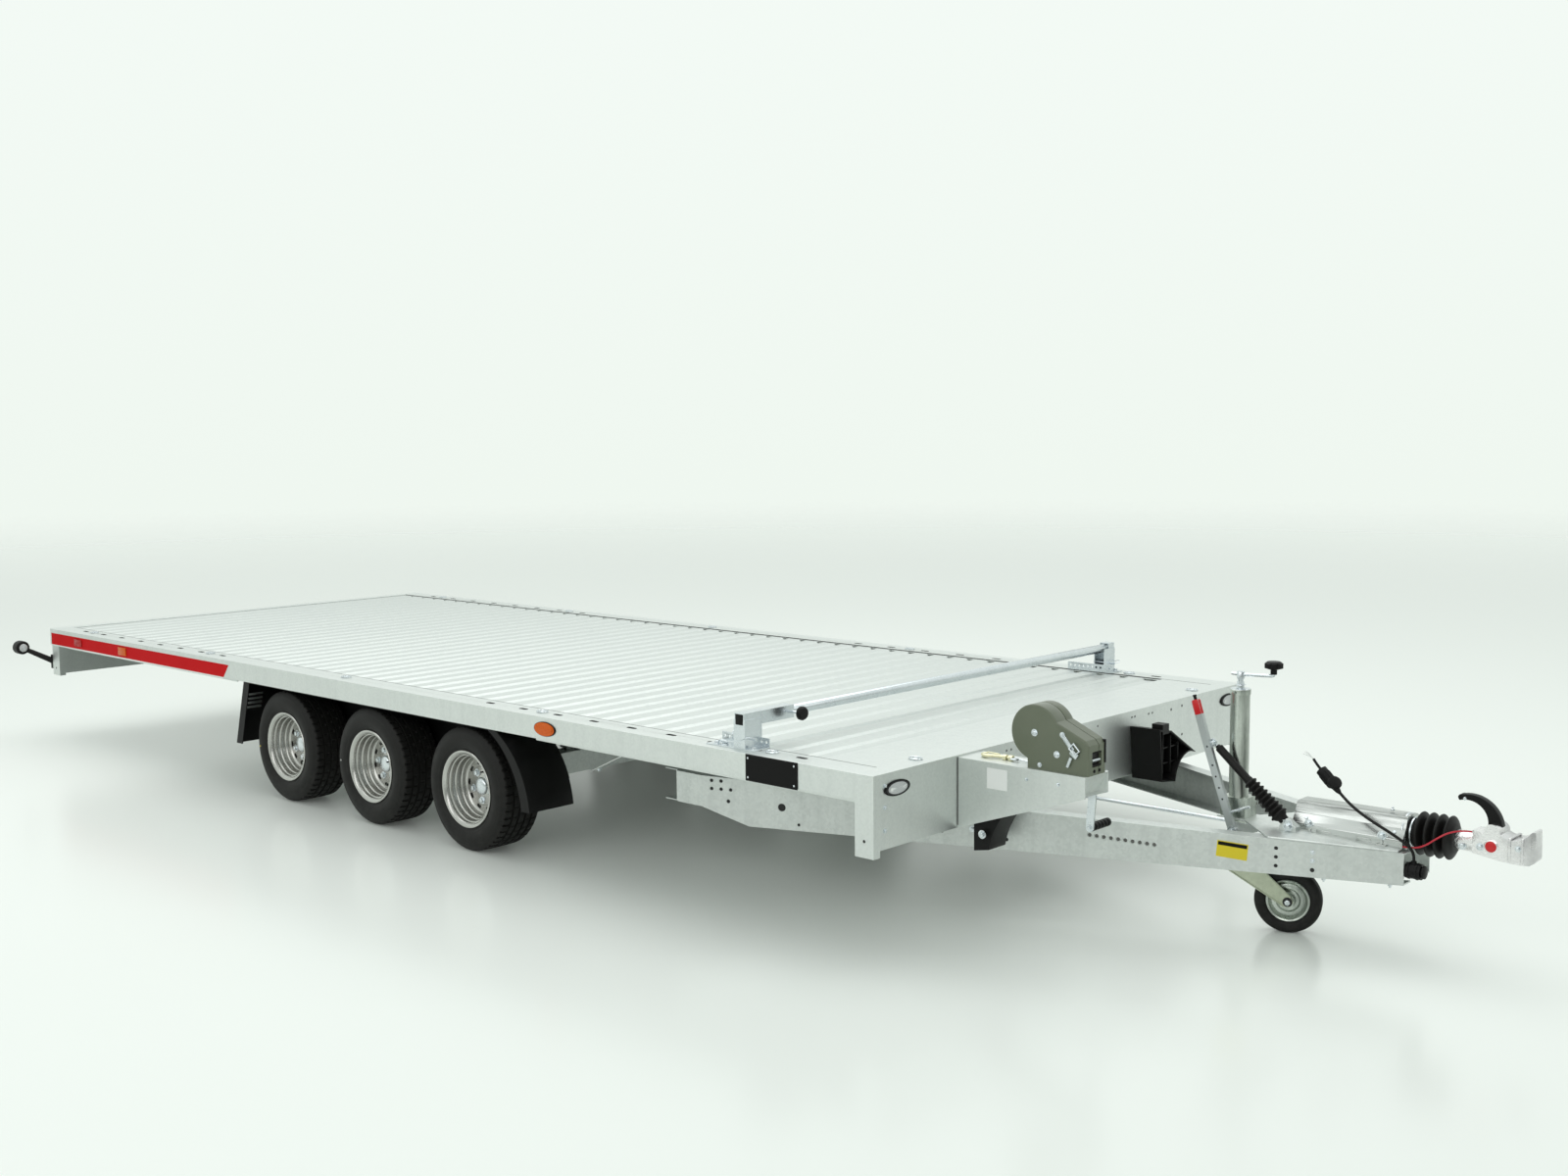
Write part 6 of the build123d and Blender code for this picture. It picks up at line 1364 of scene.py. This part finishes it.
# ---- Rear lamps and outline lamps ---------------------------------------------------------
# Three-part rear lamps on the rear panel; rubber-armed outline lamps at the rear corners,
# clear towards the front and red towards the rear.
dress(moulded_black, 1, "rear_lamps")
lamp_low, lamp_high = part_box("rear_lamps")
field_height = (lamp_high.z - lamp_low.z) / mm - 16
tail = bmesh.new()
for sign in both_sides:
    for field in (0, 1, 2):
        y = sign * (lamp_high.y - 0.115 + 0.0747 * (field - 1))
        spot = (lamp_low.x + 0.5 * mm, y, middle("rear_lamps").z)
        slab(tail, spot, (7, 62, field_height), 3, material=field)
shape(tail, "rear_lamp_lenses", "red_lens", clear_lens, amber_lens, red_lens)

outline = bmesh.new()
head_radius = 34 * mm
head_rear = low("outline_lamps").x
head_z = high("outline_lamps").z - head_radius
for sign in both_sides:
    for x, look, tone in ((head_rear + 56 * mm, 1, 1), (head_rear, -1, 2)):
        centre = (x, sign * (high("outline_lamps").y - head_radius), head_z)
        for profile, steps, closed, material in (
            ([(26, -2), (26, 1.5), (23, 2.5), (20.5, 1)], 40, True, 0),
            ([(21, 0), (20.5, 2), (16, 5), (9, 6.5), (0, 7)], 40, False, tone),
            ([(8, 6.4), (7, 7.8), (6, 6.6)], 20, True, 3),
        ):
            turned(outline, profile, centre, (look, 0, 0), steps, closed, material)
shape(outline, "outline_lamp_lenses", "red_lens", black_rubber, clear_lens, red_lens, bright_zinc, sharp=50)

# ---- Plug -----------------------------------------------------------------------------------
# Lighting plug with grip ribs and a hinged round cap, and the cable's stub beyond it, which
# ends in bared cores.
plug_tail = Vector(plug_route[-1])
plug_line = (plug_tail - Vector(plug_route[-2])).normalized()
fittings = bmesh.new()
sleeve = [(5, -34), (8, -26), (11, -8), (17.5, 2), (17.8, 9), (17, 12)]
turned(fittings, sleeve, plug_tail, plug_line, 28)
for k in range(10):
    # grip ribs round the body
    side = plug_line.orthogonal().normalized()
    side.rotate(Matrix.Rotation(k * 2 * pi / 10, 4, plug_line))
    spot = plug_tail + side * 17 * mm
    bent_rod(fittings, [spot + plug_line * 12 * mm, spot + plug_line * 44 * mm], 1.6, smooth=False)
cap = [(0, -8), (18, -7), (21, -2), (21.5, 6), (18, 11), (8, 13), (0, 13)]
turned(fittings, cap, plug_tail + plug_line * 24 * mm + Vector((22, -6, -10)) * mm, (0.55, -0.55, 0.62), 32)
stub = [plug_tail + plug_line * (along * mm) for along in (54, 78, 98)]
stub[-1].z += 4 * mm
bent_rod(fittings, stub, 4.2)
for spread_out, rise in ((-18, 4), (-11, 10), (-4, 12), (5, 8)):
    end = stub[-1] + plug_line * 14 * mm + Vector((spread_out * 0.6 - 12, spread_out * 0.4, rise)) * mm
    bent_rod(fittings, [stub[-1], stub[-1] + plug_line * 10 * mm, end], 0.9, material=1)
plug_fittings = shape(fittings, "plug_fittings", "black_plastic", moulded_black, white_vinyl)
line_length(plug_cable)

# ---- Nose of the drawbar --------------------------------------------------------------------
# Cable gland and hose clamps in the drawbar's open end, with small clips under the beams.
nose_trim = bmesh.new()
for sign in both_sides:
    for back in (0.208, 0.034):
        place, look = beam_face(back, beam_under, sign)
        under = place - look * 14 * mm
        bolt(nose_trim, under, (0, 0, -1), 6, 6, material=1)
        bent_rod(nose_trim, [(0, 0, 0), (0, 0, -13)], 3, material=1, smooth=False, origin=under)
holder_x, holder_z = low("plug_holder").x, middle("plug_holder").z - 3 * mm
for x in (holder_x + 0.010, holder_x + 0.034):
    turned(nose_trim, [(23.2, -3), (25, -2), (25, 2), (23.2, 3)], (x, holder_y, holder_z), forward, 32, True)
gland = [(16, 0), (16, 3), (19, 4), (19, 9), (12, 12), (0, 12)]
turned(nose_trim, gland, (holder_x + 0.046, holder_y, holder_z), forward, 32)
shape(nose_trim, "nose_trim", "black_plastic", moulded_black, bright_zinc)

# ---- Axles and brakes -----------------------------------------------------------------------
# Rubber-suspension axles with bolted hangers and grease caps on their arms; the brake rod
# carries nuts and a return spring.
running = bmesh.new()
arm_length, axle_height, arm_face = 135 * mm, 306 * mm, 790 * mm
hanger_face, hanger_bolts = 705 * mm, 372 * mm
for place in ("front", "mid", "rear"):
    tube_x = middle(f"tyre_{place}_right").x + arm_length
    for sign in both_sides:
        for x in (tube_x - 0.045, tube_x + 0.045):
            bolt(running, (x, sign * hanger_face, hanger_bolts), (0, sign, 0), 6.5, 6)
        turned(running, [(30, 0), (29, 4), (10, 5), (9, 3), (0, 3)], (tube_x, sign * arm_face, axle_height),
               (0, sign, 0), 32)
rod_end = Vector((low("brake_linkage").x, 20 * mm, 315 * mm))
for x in (0.038, 0.047):
    bolt(running, rod_end + Vector((x, 0, 0)), forward, 10, 8, washer=False)
coil = [(80 + 4.5 * k / 4, 12 * cos(k * pi / 4), 12 * sin(k * pi / 4)) for k in range(96)]
bent_rod(running, coil, 1.6, origin=rod_end)
shape(running, "axle_and_brake_fixings", "zinc", bright_zinc)
